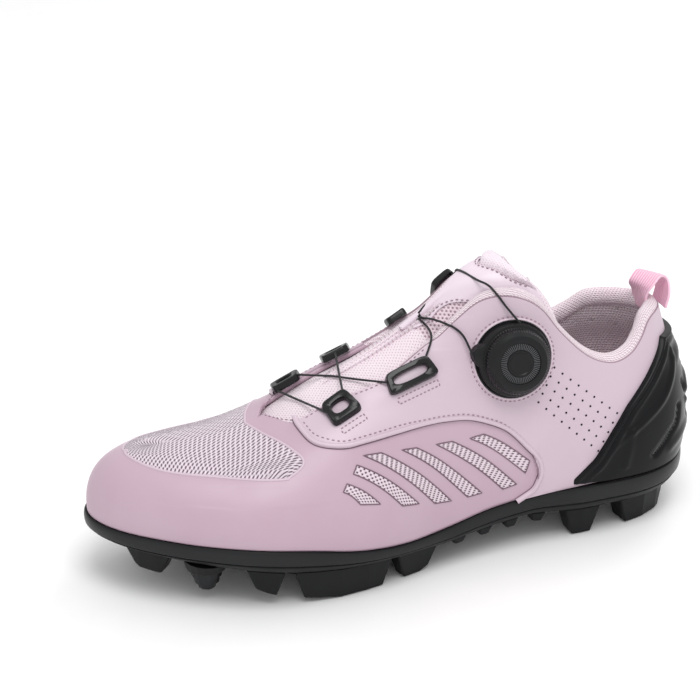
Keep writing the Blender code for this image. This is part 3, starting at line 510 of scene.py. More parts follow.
def make_grain_group():
    """Pebbled grain: soft cells with fine creases between them, and a slow unevenness."""
    inputs = [("Vector", "NodeSocketVector", None), ("Cell", "NodeSocketFloat", 0.0006)]
    group, tree, enter, leave = new_group("pebbled_grain", inputs, ["Height", "Uneven"])
    scale = tree.math("DIVIDE", 1.0, enter.outputs["Cell"])
    cells = tree.add("ShaderNodeTexVoronoi", feature="SMOOTH_F1")
    tree.feed(cells, "Vector", enter.outputs["Vector"])
    tree.feed(cells, "Scale", scale)
    fine = tree.noise(enter.outputs["Vector"], tree.math("MULTIPLY", scale, 0.5), 4.0)
    height = tree.math("ADD", tree.math("MULTIPLY", cells.outputs["Distance"], -0.7), fine)
    tree.feed(leave, "Height", height)
    tree.feed(leave, "Uneven", tree.noise(enter.outputs["Vector"], 28.0, 3.0))
    return group


def make_lattice_group():
    """Rows of holes, each row set off by half a step: Hole is 1 in a hole, Height is the raised rest."""
    inputs = [
        ("Vector", "NodeSocketVector", None),
        ("Step", "NodeSocketFloat", 0.0016),
        ("Row", "NodeSocketFloat", 0.0012),
        ("Lean", "NodeSocketFloat", 0.0),
        ("Long", "NodeSocketFloat", 0.3),
        ("Wide", "NodeSocketFloat", 0.3),
    ]
    group, tree, enter, leave = new_group("hole_lattice", inputs, ["Hole", "Height", "Shade"])
    parts = tree.add("ShaderNodeSeparateXYZ")
    tree.feed(parts, 0, enter.outputs["Vector"])
    v = tree.math("DIVIDE", parts.outputs[1], enter.outputs["Row"])
    row = tree.math("FLOOR", v)
    shift = tree.math("MULTIPLY", tree.math("MODULO", row, 2.0), 0.5)
    u = tree.math("ADD", tree.math("DIVIDE", parts.outputs[0], enter.outputs["Step"]), shift)
    du = tree.math("SUBTRACT", tree.math("FRACT", u), 0.5)
    dv = tree.math("SUBTRACT", tree.math("FRACT", v), 0.5)
    lean = tree.math("ADD", du, tree.math("MULTIPLY", dv, enter.outputs["Lean"]))
    across = tree.math("DIVIDE", lean, enter.outputs["Long"])
    down = tree.math("DIVIDE", dv, enter.outputs["Wide"])
    squares = tree.math("ADD", tree.math("POWER", across, 2.0), tree.math("POWER", down, 2.0))
    reach = tree.math("SQRT", squares)
    tree.feed(leave, "Hole", tree.range(reach, 0.75, 1.15, 1.0, 0.0))
    tree.feed(leave, "Height", tree.range(reach, 0.5, 2.0))
    tree.feed(leave, "Shade", tree.noise(enter.outputs["Vector"], 900.0, 2.0))
    return group


GRAIN = make_grain_group()
LATTICE = make_lattice_group()
print("node groups", [group.name for group in bpy.data.node_groups])

# %% [markdown]
# ## Coated and woven finishes
# Coated leather, plastic and rubber differ in colour, gloss and grain, so one function makes them all: two
# close colours that wander, an uneven roughness and a pebbled relief. Knits, meshes and ribbon have holes in
# rows instead, so a second one reads the lattice on the piece's UV map, where a loop keeps its real size.

# %% Coated and woven finishes


def new_look(name):
    look = bpy.data.materials.new(name)
    look.use_nodes = True
    tree = Tree(look.node_tree)
    shader = look.node_tree.nodes["Principled BSDF"]
    return look, tree, shader


GRAIN_RELIEF = 0.0003
KNIT_RELIEF = 0.0005
FLECK = 0.86


def relief(tree, shader, height, depth, distance=GRAIN_RELIEF):
    node = tree.add("ShaderNodeBump")
    tree.feed(node, "Height", height)
    tree.feed(node, "Strength", depth)
    tree.feed(node, "Distance", distance)
    tree.feed(shader, "Normal", node.outputs[0])


def coated(name, color, shade, roughness, cell, depth, coat=0.0, spread=0.1, specular=0.5):
    """A moulded or coated surface: two close colours, an uneven gloss and a pebbled grain."""
    look, tree, shader = new_look(name)
    place = tree.add("ShaderNodeTexCoord").outputs["Object"]
    grain = tree.add("ShaderNodeGroup", node_tree=GRAIN)
    tree.feed(grain, "Vector", place)
    tree.feed(grain, "Cell", cell)
    uneven = grain.outputs["Uneven"]
    tree.feed(shader, "Base Color", tree.mix(tree.range(uneven, 0.3, 0.7), (*color, 1), (*shade, 1)))
    gloss = tree.range(uneven, 0.25, 0.75, roughness - spread / 2, roughness + spread / 2)
    tree.feed(shader, "Roughness", gloss)
    shader.inputs["Specular IOR Level"].default_value = specular
    shader.inputs["Coat Weight"].default_value = coat
    shader.inputs["Coat Roughness"].default_value = 0.25
    relief(tree, shader, grain.outputs["Height"], depth)
    return look


def holed(name, color, dark, step, row, lean, long, wide, depth, fuzz=0.3, roughness=0.75):
    """A knit, mesh or perforated foam on the piece's own UV map, in metres."""
    look, tree, shader = new_look(name)
    place = tree.add("ShaderNodeTexCoord").outputs["UV"]
    lattice = tree.add("ShaderNodeGroup", node_tree=LATTICE)
    values = {"Vector": place, "Step": step, "Row": row, "Lean": lean, "Long": long, "Wide": wide}
    for label, value in values.items():
        tree.feed(lattice, label, value)
    flecked = tree.mix(lattice.outputs["Shade"], (*color, 1), tuple(c * FLECK for c in color) + (1,))
    # the holes take the dark colour: painted shade seen through them
    tree.feed(shader, "Base Color", tree.mix(lattice.outputs["Hole"], flecked, (*dark, 1)))
    shader.inputs["Roughness"].default_value = roughness
    shader.inputs["Sheen Weight"].default_value = fuzz
    shader.inputs["Sheen Roughness"].default_value = 0.4
    mixed = tree.math("ADD", lattice.outputs["Height"], tree.math("MULTIPLY", lattice.outputs["Shade"], 0.4))
    relief(tree, shader, mixed, depth, KNIT_RELIEF)
    return look


print("relief of grain and knit in mm", GRAIN_RELIEF / MM, KNIT_RELIEF / MM)

# %% [markdown]
# ## The shoe's finishes
# The shell is a dusky pink and the panels over it a paler one, both satin. Mesh, knit and lining are paler
# still, and their holes are painted darker as the shade seen through them. The blacks are nearly alike in
# colour
# and differ in gloss: matt rubber below, a smoother band above it, plastic guides and dial, and the counter's
# glossy sunk windows.

# %% The shoe's finishes
PINK = (0.515, 0.372, 0.448)
PINK_SHADE = (0.492, 0.346, 0.424)
PALE = (0.600, 0.478, 0.554)
PALE_SHADE = (0.576, 0.450, 0.526)
CUT_EDGE = (0.700, 0.580, 0.645)
BLACK = (0.0080, 0.0084, 0.0092)
BLACK_SHADE = (0.0055, 0.0058, 0.0064)

shell_look = coated("shell_pink", PINK, PINK_SHADE, 0.42, 0.00055, 0.05, coat=0.06)
panel_look = coated("panel_pink", PALE, PALE_SHADE, 0.40, 0.00055, 0.05, coat=0.06)
cover_look = coated(
    "cover_pink", (0.760, 0.650, 0.730), (0.735, 0.620, 0.702),
    0.42, 0.00055, 0.05, coat=0.04,
)
edge_look = coated("cut_edge_pink", CUT_EDGE, PALE, 0.5, 0.0004, 0.1)
# painted shade: a dark colour for the rims round the vents and the strip in the crease beside the bead
recess_shade_look = coated("painted_recess_shade", (0.190, 0.120, 0.155), (0.150, 0.090, 0.120), 0.6, 0.0004, 0.1)
rubber_look = coated("sole_rubber", BLACK, BLACK_SHADE, 0.46, 0.00035, 0.12, specular=0.20)
side_look = coated("sole_side", (0.0110, 0.0115, 0.0126), BLACK, 0.36, 0.0003, 0.08, specular=0.28)
plastic_look = coated("black_plastic", BLACK, BLACK_SHADE, 0.24, 0.0003, 0.05, spread=0.08, specular=0.30)
line_look = coated("dial_line_grey", (0.085, 0.087, 0.092), (0.06, 0.062, 0.066), 0.42, 0.0003, 0.03)
shell_black = coated("counter_black", BLACK, BLACK_SHADE, 0.30, 0.0003, 0.04, spread=0.10, specular=0.14)
gloss_black = coated("counter_gloss", BLACK_SHADE, (0.004, 0.0042, 0.0046), 0.08, 0.0006, 0.01, coat=0.3)
dial_look = coated(
    "dial_plastic", (0.0090, 0.0094, 0.0103), BLACK,
    0.34, 0.00025, 0.06, spread=0.08, specular=0.25,
)
steel_look = coated("blackened_steel", (0.030, 0.031, 0.033), (0.02, 0.0205, 0.022), 0.30, 0.0004, 0.04)
steel_look.node_tree.nodes["Principled BSDF"].inputs["Metallic"].default_value = 0.8
# the thread's own pink, darkened further as painted shade of the stitches
thread_shade_look = coated("pink_thread_shaded", (0.36, 0.25, 0.30), (0.27, 0.18, 0.22), 0.7, 0.0002, 0.2)
# painted shade: the dark of the punched holes and of the tongue's slit, where no light reaches
hole_shade_look = coated("punched_hole", (0.010, 0.009, 0.010), (0.008, 0.007, 0.008), 0.9, 0.0004, 0.05)

knit_look = holed(
    "toe_knit", (0.80, 0.69, 0.765), (0.13, 0.075, 0.11),
    0.0031, 0.00165, 0.9, 0.36, 0.26, 0.9,
)
vent_look = holed(
    "vent_mesh", (0.80, 0.67, 0.74), (0.10, 0.055, 0.08),
    0.0024, 0.00120, 0.0, 0.19, 0.36, 0.8,
)
foam_look = holed(
    "tongue_foam", (0.87, 0.755, 0.815), (0.62, 0.42, 0.50),
    0.00170, 0.00105, 0.0, 0.17, 0.20, 0.5,
)
pad_look = holed(
    "tongue_pad", (0.86, 0.75, 0.82), (0.60, 0.46, 0.53),
    0.00150, 0.00110, 0.0, 0.16, 0.18, 0.4,
)
window_look = holed(
    "tongue_window", (0.84, 0.68, 0.75), (0.34, 0.20, 0.26),
    0.00210, 0.00150, 0.0, 0.24, 0.26, 0.8,
)
lining_look = holed(
    "mesh_lining", (0.98, 0.89, 0.93), (0.62, 0.38, 0.47),
    0.00170, 0.00150, 0.0, 0.24, 0.26, 0.9,
)
binding_look = holed(
    "knit_binding", (0.96, 0.82, 0.88), (0.70, 0.50, 0.58),
    0.00150, 0.00095, 0.0, 0.24, 0.22, 0.9,
)
ribbon_look = holed(
    "ribbon", (0.96, 0.60, 0.745), (0.80, 0.33, 0.50),
    0.00030, 0.00120, 0.0, 2.0, 0.16, 0.6,
)
cord_look = holed(
    "braided_cord", (0.012, 0.012, 0.014), (0.004, 0.004, 0.005),
    0.0007, 0.0005, 1.0, 0.3, 0.3, 0.6, 0.1, 0.5,
)
insole_look = holed(
    "footbed_cloth", (0.66, 0.48, 0.55), (0.46, 0.30, 0.36),
    0.00120, 0.00100, 0.0, 0.22, 0.22, 0.5,
)
print("finishes", len(bpy.data.materials))

# %% [markdown]
# ## Soft hollows
# Leather never lies dead flat: where the cord pulls and the foot bends there are soft hollows. Sculpting
# would lose the real sizes, so they are a short table of places, sizes and depths, each a smooth
# dip or swelling of the last's face, and every panel that lies on it follows.

# %% Soft hollows and swellings of the leather
# along, up, side, length, height, turn in degrees, depth: lengths in mm
HOLLOWS = (
    (0.398, 0.66, 1, 9, 22, 20, -0.9),
    (0.372, 0.79, 1, 16, 7, 35, 0.7),
    (0.275, 0.66, 1, 20, 9, -40, -0.6),
    (0.560, 0.62, 1, 26, 6, 8, -0.5),
    (0.470, 0.58, 1, 26, 7, -6, 0.4),
    (0.700, 0.42, 1, 34, 12, 12, -0.5),
    (0.780, 0.34, 1, 30, 10, 20, 0.4),
    (0.210, 0.36, 1, 22, 16, 0, 0.5),
    (0.400, 0.62, -1, 10, 22, 10, -0.7),
    (0.560, 0.55, -1, 34, 8, 6, -0.6),
    (0.690, 0.45, -1, 30, 12, -10, -0.5),
    (0.260, 0.50, -1, 26, 14, 30, -0.6),
)


def hollows(turn, up):
    """How far the leather swells out or dips in at each place."""
    turn = np.asarray(turn, float)
    points = bezier(wall_controls(turn), up)
    lift = np.zeros(points.shape[:-1])
    for along, up0, side, long, high, lean, depth in HOLLOWS:
        at = turn_of(along, side)
        centre = wall(at, up0)
        x = (points[..., 0] - centre[0]) / MM
        z = np.linalg.norm(points[..., 1:] - centre[1:], axis=-1) / MM
        z = z * np.sign(points[..., 2] - centre[2])
        c, s = math.cos(math.radians(lean)), math.sin(math.radians(lean))
        reach = ((x * c + z * s) / long) ** 2 + ((z * c - x * s) / high) ** 2
        near = np.abs(along_of(turn) - along) < 0.3
        same = side_of(turn) == (-1.0 if side > 0 else 1.0)
        lift = lift + np.where(near & same, depth * MM * np.exp(-reach), 0.0)
    return lift * smooth(0.02, 0.15, up) * smooth(1.0, 0.9, up)


def skin(turn, up, out=0.0):
    """A face of the upper with its hollows."""
    return wall(turn, up, hollows(turn, up) + np.asarray(out, float))


print("hollows and swellings", len(HOLLOWS))

# %% [markdown]
# ## The shell
# The shell is one closed band of synthetic leather, 2 mm thick, and its collar is filled with foam. One sheet
# with Solidify would be evenly thick, so a vertex group says how thick each place is, and the inner faces
# take the lining's material.

# %% The shell
WALL = 0.002
COLLAR_PAD = 0.0045
THROAT = (0.690, 0.735)


def upper_turns(count):
    even = np.linspace(0.0, TURN, count + 1)[:-1]
    throat = np.linspace(*THROAT, 14)
    return np.sort(np.concatenate([even, turn_of(throat), turn_of(throat, -1)]))


def make_upper():
    turns = upper_turns(380)
    turns = np.append(turns, TURN)
    rows = 84
    ups = upper_edge(turns)[:, None] * np.linspace(0.0, 1.0, rows)[None]
    points = skin(turns[:, None], ups)
    flat = metre_uv(points)
    print("shell round the foot and up in m", flat[-1, rows // 2, 0].round(3), flat[..., 1].max().round(3))
    bm = flip(sheet("upper_shell", points, flat))
    obj = piece("upper_shell", bm, [shell_look, lining_look], "upper")
    group = obj.vertex_groups.new(name="thickness")
    mesh = obj.data
    place = np.empty(len(mesh.vertices) * 3)
    mesh.vertices.foreach_get("co", place)
    place = place.reshape(-1, 3)
    share = np.linspace(0.0, 1.0, rows)[None] + 0 * ups
    pad = smooth(0.55, 0.85, share) * (1.0 - smooth(0.38, 0.46, along_of(turns))[:, None])
    thick = (WALL + (COLLAR_PAD - WALL) * pad) / COLLAR_PAD
    key = {tuple(np.round(p, 6)): t for p, t in zip(points.reshape(-1, 3), thick.ravel())}
    for index, one in enumerate(place):
        group.add([index], float(key.get(tuple(np.round(one, 6)), WALL / COLLAR_PAD)), "REPLACE")
    thicken(obj, COLLAR_PAD, -1.0, 1)
    obj.modifiers["thickness"].vertex_group = "thickness"
    return obj


upper = make_upper()

# %% [markdown]
# ## Quarter panels
# A smooth panel runs from the throat over the ankle and round the heel on each side. It is a second
# sheet laid on the shell, one millimetre thick with a rounded cut edge and a row of stitches inside it.
# Its lower edge is a table of places; the inner side repeats the outer one.

# %% Panels over the shell
QUARTER = (
    (0.000, 0.000),
    (0.293, 0.000),
    (0.297, 0.110),
    (0.313, 0.215),
    (0.345, 0.300),
    (0.383, 0.350),
    (0.426, 0.400),
    (0.487, 0.450),
    (0.535, 0.485),
    (0.595, 0.520),
    (0.629, 0.545),
    (0.659, 0.605),
    (0.675, 0.675),
    (0.683, 0.790),
)
PANEL_OUT = 0.0001
PANEL_THICK = 0.0011
PANEL_FACE_OUT = PANEL_OUT + PANEL_THICK
SEAM_DROP = 0.020
EYESTAY_DROP = 0.006
# the seam swings forward again below its bulge: along, up
SEAM_FOOT = ((0.290, 0.120), (0.2935, 0.100), (0.299, 0.060), (0.309, 0.026), (0.337, -0.004))


def quarter_low(along):
    rows = smooth_line(QUARTER[2:], 8)
    return np.where(along < QUARTER[2][0], 0.0, np.interp(along, rows[:, 0], rows[:, 1]))


def quarter_top(turn):
    drop = SEAM_DROP + (EYESTAY_DROP - SEAM_DROP) * smooth(0.44, 0.47, along_of(turn))
    return upper_edge(turn) - drop


def make_quarter(side, name):
    alongs = np.concatenate([np.linspace(0.0, 0.285, 60), np.linspace(0.288, 0.683, 190)])
    turns = turn_of(alongs, side)
    low, high = quarter_low(alongs), quarter_top(turns)
    share = np.linspace(0.0, 1.0, 64)[None]
    ups = low[:, None] + (high - low)[:, None] * share
    points = skin(turns[:, None], ups, PANEL_OUT)
    if side < 0:
        points = points[::-1]
    flat = metre_uv(points)
    print(name, "long and high in m", flat[-1, 32, 0].round(3), flat[..., 1].max().round(3))
    bm = flip(sheet(name, points, flat))
    obj = piece(name, bm, [panel_look], name.replace("_skin", ""))
    thicken(obj, PANEL_THICK, 1.0)
    return round_edges(obj, 0.0004, 2, 60.0)


def make_seam_foot():
    bm = bmesh.new()
    alongs = np.linspace(SEAM_FOOT[0][0], SEAM_FOOT[-1][0], 24)
    rows = smooth_line(SEAM_FOOT, 8)
    high = np.interp(alongs, rows[:, 0], rows[:, 1])
    for side in (1, -1):
        turns = turn_of(alongs, side)
        ups = np.maximum(high, 0.0)[:, None] * np.linspace(0.0, 1.0, 10)[None]
        join(bm, sheet("foot", skin(turns[:, None], ups, PANEL_FACE_OUT), uv_of(ups)), (0.0, -side, 0.0))
    return piece("quarter_foot", bm, [panel_look])


quarters = [make_quarter(1, "quarter_panel_lateral_skin"), make_quarter(-1, "quarter_panel_medial_skin")]
make_seam_foot()

# %% [markdown]
# ## Faces to set things on
# Guides, dial, vents and stitches all sit on the leather. A ray cast at the finished face finds the exact
# height there, which is what a shoemaker's hand does by pressing the part down.

# %% Faces to set things on


def face_tree(out, columns=260, rows=110):
    turns = np.linspace(0.0, TURN, columns + 1)
    points = skin(turns[:, None], np.linspace(0.0, 0.999, rows)[None] + 0 * turns[:, None], out)
    bm = flip(sheet("probe", points, metre_uv(points)))
    tree = BVHTree.FromBMesh(bm)
    bm.free()
    return tree


SHELL_FACE = face_tree(0.0)
PANEL_FACE = face_tree(PANEL_FACE_OUT)


def pin(turn, up, out=0.0, twist=0.0):
    """A frame on the leather: Z out of it, X towards the heel, turned by twist degrees."""
    origin = Vector(skin(np.array(turn), np.array(up), out))
    normal = Vector(wall_normal(np.array(turn), np.array(up)))
    x = (Vector((1.0, 0.0, 0.0)) - normal * normal.x).normalized()
    turned = Matrix((x, normal.cross(x), normal)).transposed().to_4x4()
    return Matrix.Translation(origin) @ turned @ Matrix.Rotation(math.radians(twist), 4, "Z")


RAY_START = 0.02
RAY_REACH = 0.06


def seated(place, tree, x, y, height):
    """The point of a frame that lies that high over the face."""
    down = -(place.to_3x3() @ Vector((0.0, 0.0, 1.0)))
    hit = tree.ray_cast(place @ Vector((x, y, RAY_START)), down, RAY_REACH)[0]
    if hit is None:
        return place @ Vector((x, y, height))
    return hit - down * height


def on_leather(places, side=1, out=PANEL_FACE_OUT, steps=12):
    """Points and normals along a line of (along, up) places."""
    line = smooth_line(places, steps)
    turns = turn_of(line[:, 0], side)
    return skin(turns, line[:, 1], out), wall_normal(turns, line[:, 1])


def evenly(points, normals, pitch):
    """Points, directions and normals at an even pitch along a line."""
    run = np.concatenate([[0.0], np.cumsum(np.linalg.norm(np.diff(points, axis=0), axis=1))])
    at = np.arange(pitch / 2, run[-1], pitch)
    where = np.stack([np.interp(at, run, points[:, k]) for k in range(3)], -1)
    ahead = np.stack([np.interp(at + pitch / 4, run, points[:, k]) for k in range(3)], -1)
    behind = np.stack([np.interp(at - pitch / 4, run, points[:, k]) for k in range(3)], -1)
    normal = np.stack([np.interp(at, run, normals[:, k]) for k in range(3)], -1)
    return where, ahead - behind, normal


def stand(origin, way, normal):
    """A frame with X along way and Z near normal."""
    x = Vector(way).normalized()
    y = Vector(normal).cross(x).normalized()
    return Matrix.Translation(Vector(origin)) @ Matrix((x, y, x.cross(y))).transposed().to_4x4()


print("outer face half way up the heel", [round(value, 4) for value in pin(0.0, 0.5).translation])

# %% [markdown]
# ## Stitches
# A machine stitch is a short bulging length of thread that dives into the leather at both ends. A
# stretched little sphere, half sunk, reads as that from any side, and it costs only a few dozen faces. Its
# colour is the thread's own pink, darkened further by painted shade of the stitch.

# %% Stitches
STITCH_PITCH = 0.0023
STITCH_LENGTH = 0.0014
THREAD = 0.00032


def stitches(name, lines, look=thread_shade_look, pitch=STITCH_PITCH, length=STITCH_LENGTH, radius=THREAD):
    bm = bmesh.new()
    count = 0
    for points, normals in lines:
        for where, way, normal in zip(*evenly(points, normals, pitch)):
            place = stand(where, way, normal) @ Matrix.Diagonal((length / 2, radius, radius, 1.0))
            bmesh.ops.create_uvsphere(bm, u_segments=6, v_segments=5, radius=1.0, matrix=place)
            count += 1
    print(name, count, "stitches")
    return piece(name, bm, [look], smooth_angle=80.0)


# the row runs a little inside the panel's lower edge, steeper at first: along, up
REAR_INSET = (0.004, 0.018)
LOW_INSET = 0.022
SEAM_START = ((0.3005, 0.05),)
SEAM_CORNER = ((0.653, 0.625), (0.668, 0.690), (0.674, 0.775))
EYESTAY_SPAN = (0.47, 0.672)
EYESTAY_INSET = 0.012
THROAT_ROW = ((0.7185, 0.99), (0.712, 0.95), (0.703, 0.905), (0.694, 0.868), (0.686, 0.84))

seam_rows = QUARTER[2:-1]
rear = [(along + REAR_INSET[0], up + REAR_INSET[1]) for along, up in seam_rows[:6]]
low = [(along, up + LOW_INSET) for along, up in seam_rows[6:-2]]
low_seam = [*SEAM_START, *rear, *low, *SEAM_CORNER]
lines = []
for side in (1, -1):
    lines.append(on_leather(low_seam, side))
    spots = np.linspace(*EYESTAY_SPAN, 10)
    edge = [(along, float(quarter_top(turn_of(along, side))) - EYESTAY_INSET) for along in spots]
    lines.append(on_leather(edge, side))
    lines.append(on_leather(THROAT_ROW, side, 0.0))
stitches("quarter_stitches", lines)

# %% [markdown]
# ## Seams and raised lips
# Along the panel's lower edge runs a welted seam: a cord under the leather that stands up as a bead, with a
# crease on its far side, drawn as a thin dark strip of painted shade. A bevelled curve would be round, and
# real lips are low and flat-topped, so a small profile of six points is swept along the line, its Z out of
# the leather.

# %% Seams and raised lips


LIP_PROFILE = ((0.2, 0.93), (0.42, 0.55))


def lip(name, lines, width, height, look, sink=0.0003):
    """A rounded cord or welded rim laid along lines of points and normals."""
    bm = bmesh.new()
    right = [(x, y) for x, y in LIP_PROFILE] + [(0.5, -sink / height)]
    profile = np.array([(-x, y) for x, y in right[::-1]] + right)
    for points, normals in lines:
        ahead = np.gradient(points, axis=0)
        across = np.cross(normals, ahead)
        across = across / np.linalg.norm(across, axis=-1, keepdims=True)
        grid = points[:, None] + across[:, None] * (profile[:, 0] * width)[None, :, None]
        grid = grid + normals[:, None] * (profile[:, 1] * height)[None, :, None]
        join(bm, sheet(name, grid, metre_uv(grid)), normals[len(normals) // 2])
    return piece(name, bm, [look], smooth_angle=60.0)


SEAM_BEND = ((0.2950, 0.142), (0.3025, 0.182))
SEAM_END = ((0.683, 0.850),)


def beside(points, normals, offset, drop):
    """A line moved sideways along the leather, and down into it."""
    across = np.cross(normals, np.gradient(points, axis=0))
    across = across / np.linalg.norm(across, axis=-1, keepdims=True)
    return points + across * offset - normals * drop, normals


BEAD_WIDTH, BEAD_HEIGHT = 0.0021, 0.0006
# the dark strip beside the bead is painted shade in the crease: its offset, width and height
CREASE_SHADE_OFFSET = 0.00115
CREASE_SHADE_WIDTH, CREASE_SHADE_HEIGHT = 0.0007, 0.0002


def make_beads():
    places = [*SEAM_FOOT[:0:-1], *SEAM_BEND, *QUARTER[3:], *SEAM_END]
    lines = [on_leather(places, side, PANEL_FACE_OUT, 14) for side in (1, -1)]
    lip("quarter_beads", lines, BEAD_WIDTH, BEAD_HEIGHT, panel_look, sink=PANEL_FACE_OUT)
    # a dark strip of painted shade beside each bead, sunk to the shell
    crease_shade_lines = []
    for (points, normals), way in zip(lines, (1, -1)):
        crease_shade_lines.append(beside(points, normals, way * CREASE_SHADE_OFFSET, PANEL_FACE_OUT))
    lip("quarter_crease_shade", crease_shade_lines, CREASE_SHADE_WIDTH, CREASE_SHADE_HEIGHT, recess_shade_look)


COLLAR_SEAM_END = 0.535
COLLAR_SEAM_RISE = 0.002
COLLAR_SEAM_SINK = 0.0002


def make_collar_seam():
    alongs = np.linspace(0.0, COLLAR_SEAM_END, 110)
    seams = []
    for side in (1, -1):
        turns = turn_of(alongs, side)
        ups = quarter_top(turns) + COLLAR_SEAM_RISE
        seams.append((skin(turns, ups, PANEL_FACE_OUT - COLLAR_SEAM_SINK), wall_normal(turns, ups)))
    lip("collar_seam", seams, 0.0006, 0.0003, thread_shade_look)


make_beads()
make_collar_seam()

# %% [markdown]
# ## Vents
# Six slanted slots are cut in the shell beside the ball of the foot, with mesh glued behind them and a thin
# welded rim, so air reaches the toes. Cutting them with Booleans would tear the thin shell's mesh, so each
# slot is a small grid of mesh between four corners, laid just over the leather, with a rim round it. The rim
# is raised, and its dark colour is painted shade where the slot's edge shadows the mesh.

# %% Vents
# each slot's four corners as (along, up): upper back, lower back, lower front, upper front
VENTS = (
    ((0.392, 0.305), (0.313, 0.160), (0.321, 0.110), (0.417, 0.310)),
    ((0.448, 0.330), (0.337, 0.070), (0.362, 0.065), (0.478, 0.350)),
    ((0.513, 0.380), (0.400, 0.080), (0.426, 0.090), (0.539, 0.405)),
    ((0.574, 0.435), (0.456, 0.105), (0.487, 0.125), (0.604, 0.460)),
    ((0.617, 0.430), (0.517, 0.155), (0.548, 0.175), (0.625, 0.395)),
    ((0.638, 0.360), (0.587, 0.215), (0.621, 0.240), (0.646, 0.325)),
)
VENT_BOW = 0.010
VENT_LIFT = 0.00012


def vent_places(corners):
    """Places of one slot, from its back edge to its front edge, with both long edges a little bowed."""
    back_high, back_low, front_low, front_high = (np.array(corner) for corner in corners)
    down = np.linspace(0.0, 1.0, 26)[:, None, None]
    ahead = np.linspace(0.0, 1.0, 7)[None, :, None]
    back = back_high + (back_low - back_high) * down
    front = front_high + (front_low - front_high) * down
    places = back + (front - back) * ahead
    places[..., 1] += VENT_BOW * np.sin(math.pi * down[..., 0])
    return places


def make_vents():
    bm = bmesh.new()
    rims = []
    for corners in VENTS:
        places = vent_places(corners)
        for side in (1, -1):
            turns = turn_of(places[..., 0], side)
            grid = skin(turns, places[..., 1], VENT_LIFT)
            join(bm, sheet("vent", grid, metre_uv(grid)), (0.0, -side, 0.0))
            ring = np.concatenate([places[:, 0], places[-1, 1:], places[-2::-1, -1], places[0, -2::-1]])
            turns = turn_of(ring[:, 0], side)
            rims.append((skin(turns, ring[:, 1]), wall_normal(turns, ring[:, 1])))
    piece("vent_mesh", bm, [vent_look])
    # the rims' dark colour is painted shade round each slot
    lip("vent_shade_rims", rims, 0.00065, 0.00035, recess_shade_look)


make_vents()

# %% [markdown]
# ## Punched holes
# Small holes by the heel are punched in five rows. They are 1 mm wide, too small to look into, so each is a
# disc of painted shade that lies on the leather, placed by a loop between the four corners of the field.

# %% Punched holes
HOLE_ROWS = 5
HOLE_COUNT = 9
HOLE_RADIUS = 0.00052
HOLE_LIFT = 0.00006
HOLE_CORNERS = ((0.258, 0.565), (0.153, 0.310), (0.293, 0.420), (0.192, 0.150))


def make_holes():
    bm = bmesh.new()
    first, second, third, fourth = (np.array(corner) for corner in HOLE_CORNERS)
    for side in (1, -1):
        for row in range(HOLE_ROWS):
            start = first + (third - first) * row / (HOLE_ROWS - 1)
            end = second + (fourth - second) * row / (HOLE_ROWS - 1)
            for number in range(HOLE_COUNT):
                along, up = start + (end - start) * number / (HOLE_COUNT - 1)
                place = pin(turn_of(along, side), up, PANEL_FACE_OUT + HOLE_LIFT)
                bmesh.ops.create_circle(bm, cap_ends=True, segments=14, radius=HOLE_RADIUS, matrix=place)
    return piece("punched_holes", bm, [hole_shade_look])


make_holes()

# %% [markdown]
# ## Toe mesh
# A window of open knit sits over the toes, welded under the shell. The knit is one sheet that crosses the
# ridge from side to side. Its loops are far too small to model, so they are a relief in the finish.

# %% Toe mesh
MESH_BACK = ((0.51, 0.720), (0.565, 0.695), (0.68, 0.707), (0.86, 0.735), (1.0, 0.750))
MESH_FRONT = ((0.51, 0.735), (0.605, 0.818), (0.67, 0.922), (0.775, 0.992), (0.82, 1.0), (1.0, 1.0))
MESH_LIFT = 0.00015
MESH_LEVELS = 56
MESH_TOP = 0.999


def make_toe_mesh():
    back, front = np.array(MESH_BACK), np.array(MESH_FRONT)
    rise = np.linspace(MESH_BACK[0][0], 1.0, MESH_LEVELS)
    levels = np.concatenate([rise, rise[-2::-1]])
    sides = np.array([1] * MESH_LEVELS + [-1] * (MESH_LEVELS - 1))
    start = np.interp(levels, back[:, 0], back[:, 1])
    end = np.interp(levels, front[:, 0], front[:, 1])
    share = np.linspace(0.0, 1.0, 70)
    angle = angle_at(start)[None] + (angle_at(end) - angle_at(start))[None] * share[:, None]
    turns = np.where(sides[None] > 0, angle, TURN - angle)
    points = skin(turns, np.minimum(levels, MESH_TOP)[None] + 0 * turns, MESH_LIFT)
    bm = face_up(sheet("toe_mesh", points, metre_uv(points)))
    piece("toe_mesh", bm, [knit_look])
    rims = []
    for side in (1, -1):
        places = [(along, level) for level, along in MESH_BACK[::-1]]
        places += [(along, level) for level, along in MESH_FRONT[:-1]]
        rims.append(on_leather(places, side, 0.0, 10))
    lip("toe_mesh_rim", rims, 0.0012, 0.00045, panel_look)


make_toe_mesh()

# %% [markdown]
# ## Collar
# The edge round the ankle is bound in ribbed knit over foam, thin beside the tongue and a soft roll at the
# heel. It is swept as one round section along the edge, and the section grows towards the heel.

# %% Collar binding
BINDING_END = 0.535
BINDING_FADE = 0.03
BINDING_HALF, BINDING_HALF_PAD = 0.0024, 0.0010
BINDING_TALL, BINDING_TALL_PAD = 0.0034, 0.0012
BINDING_SWING = (-0.62, 1.42)
BINDING_RING = 18


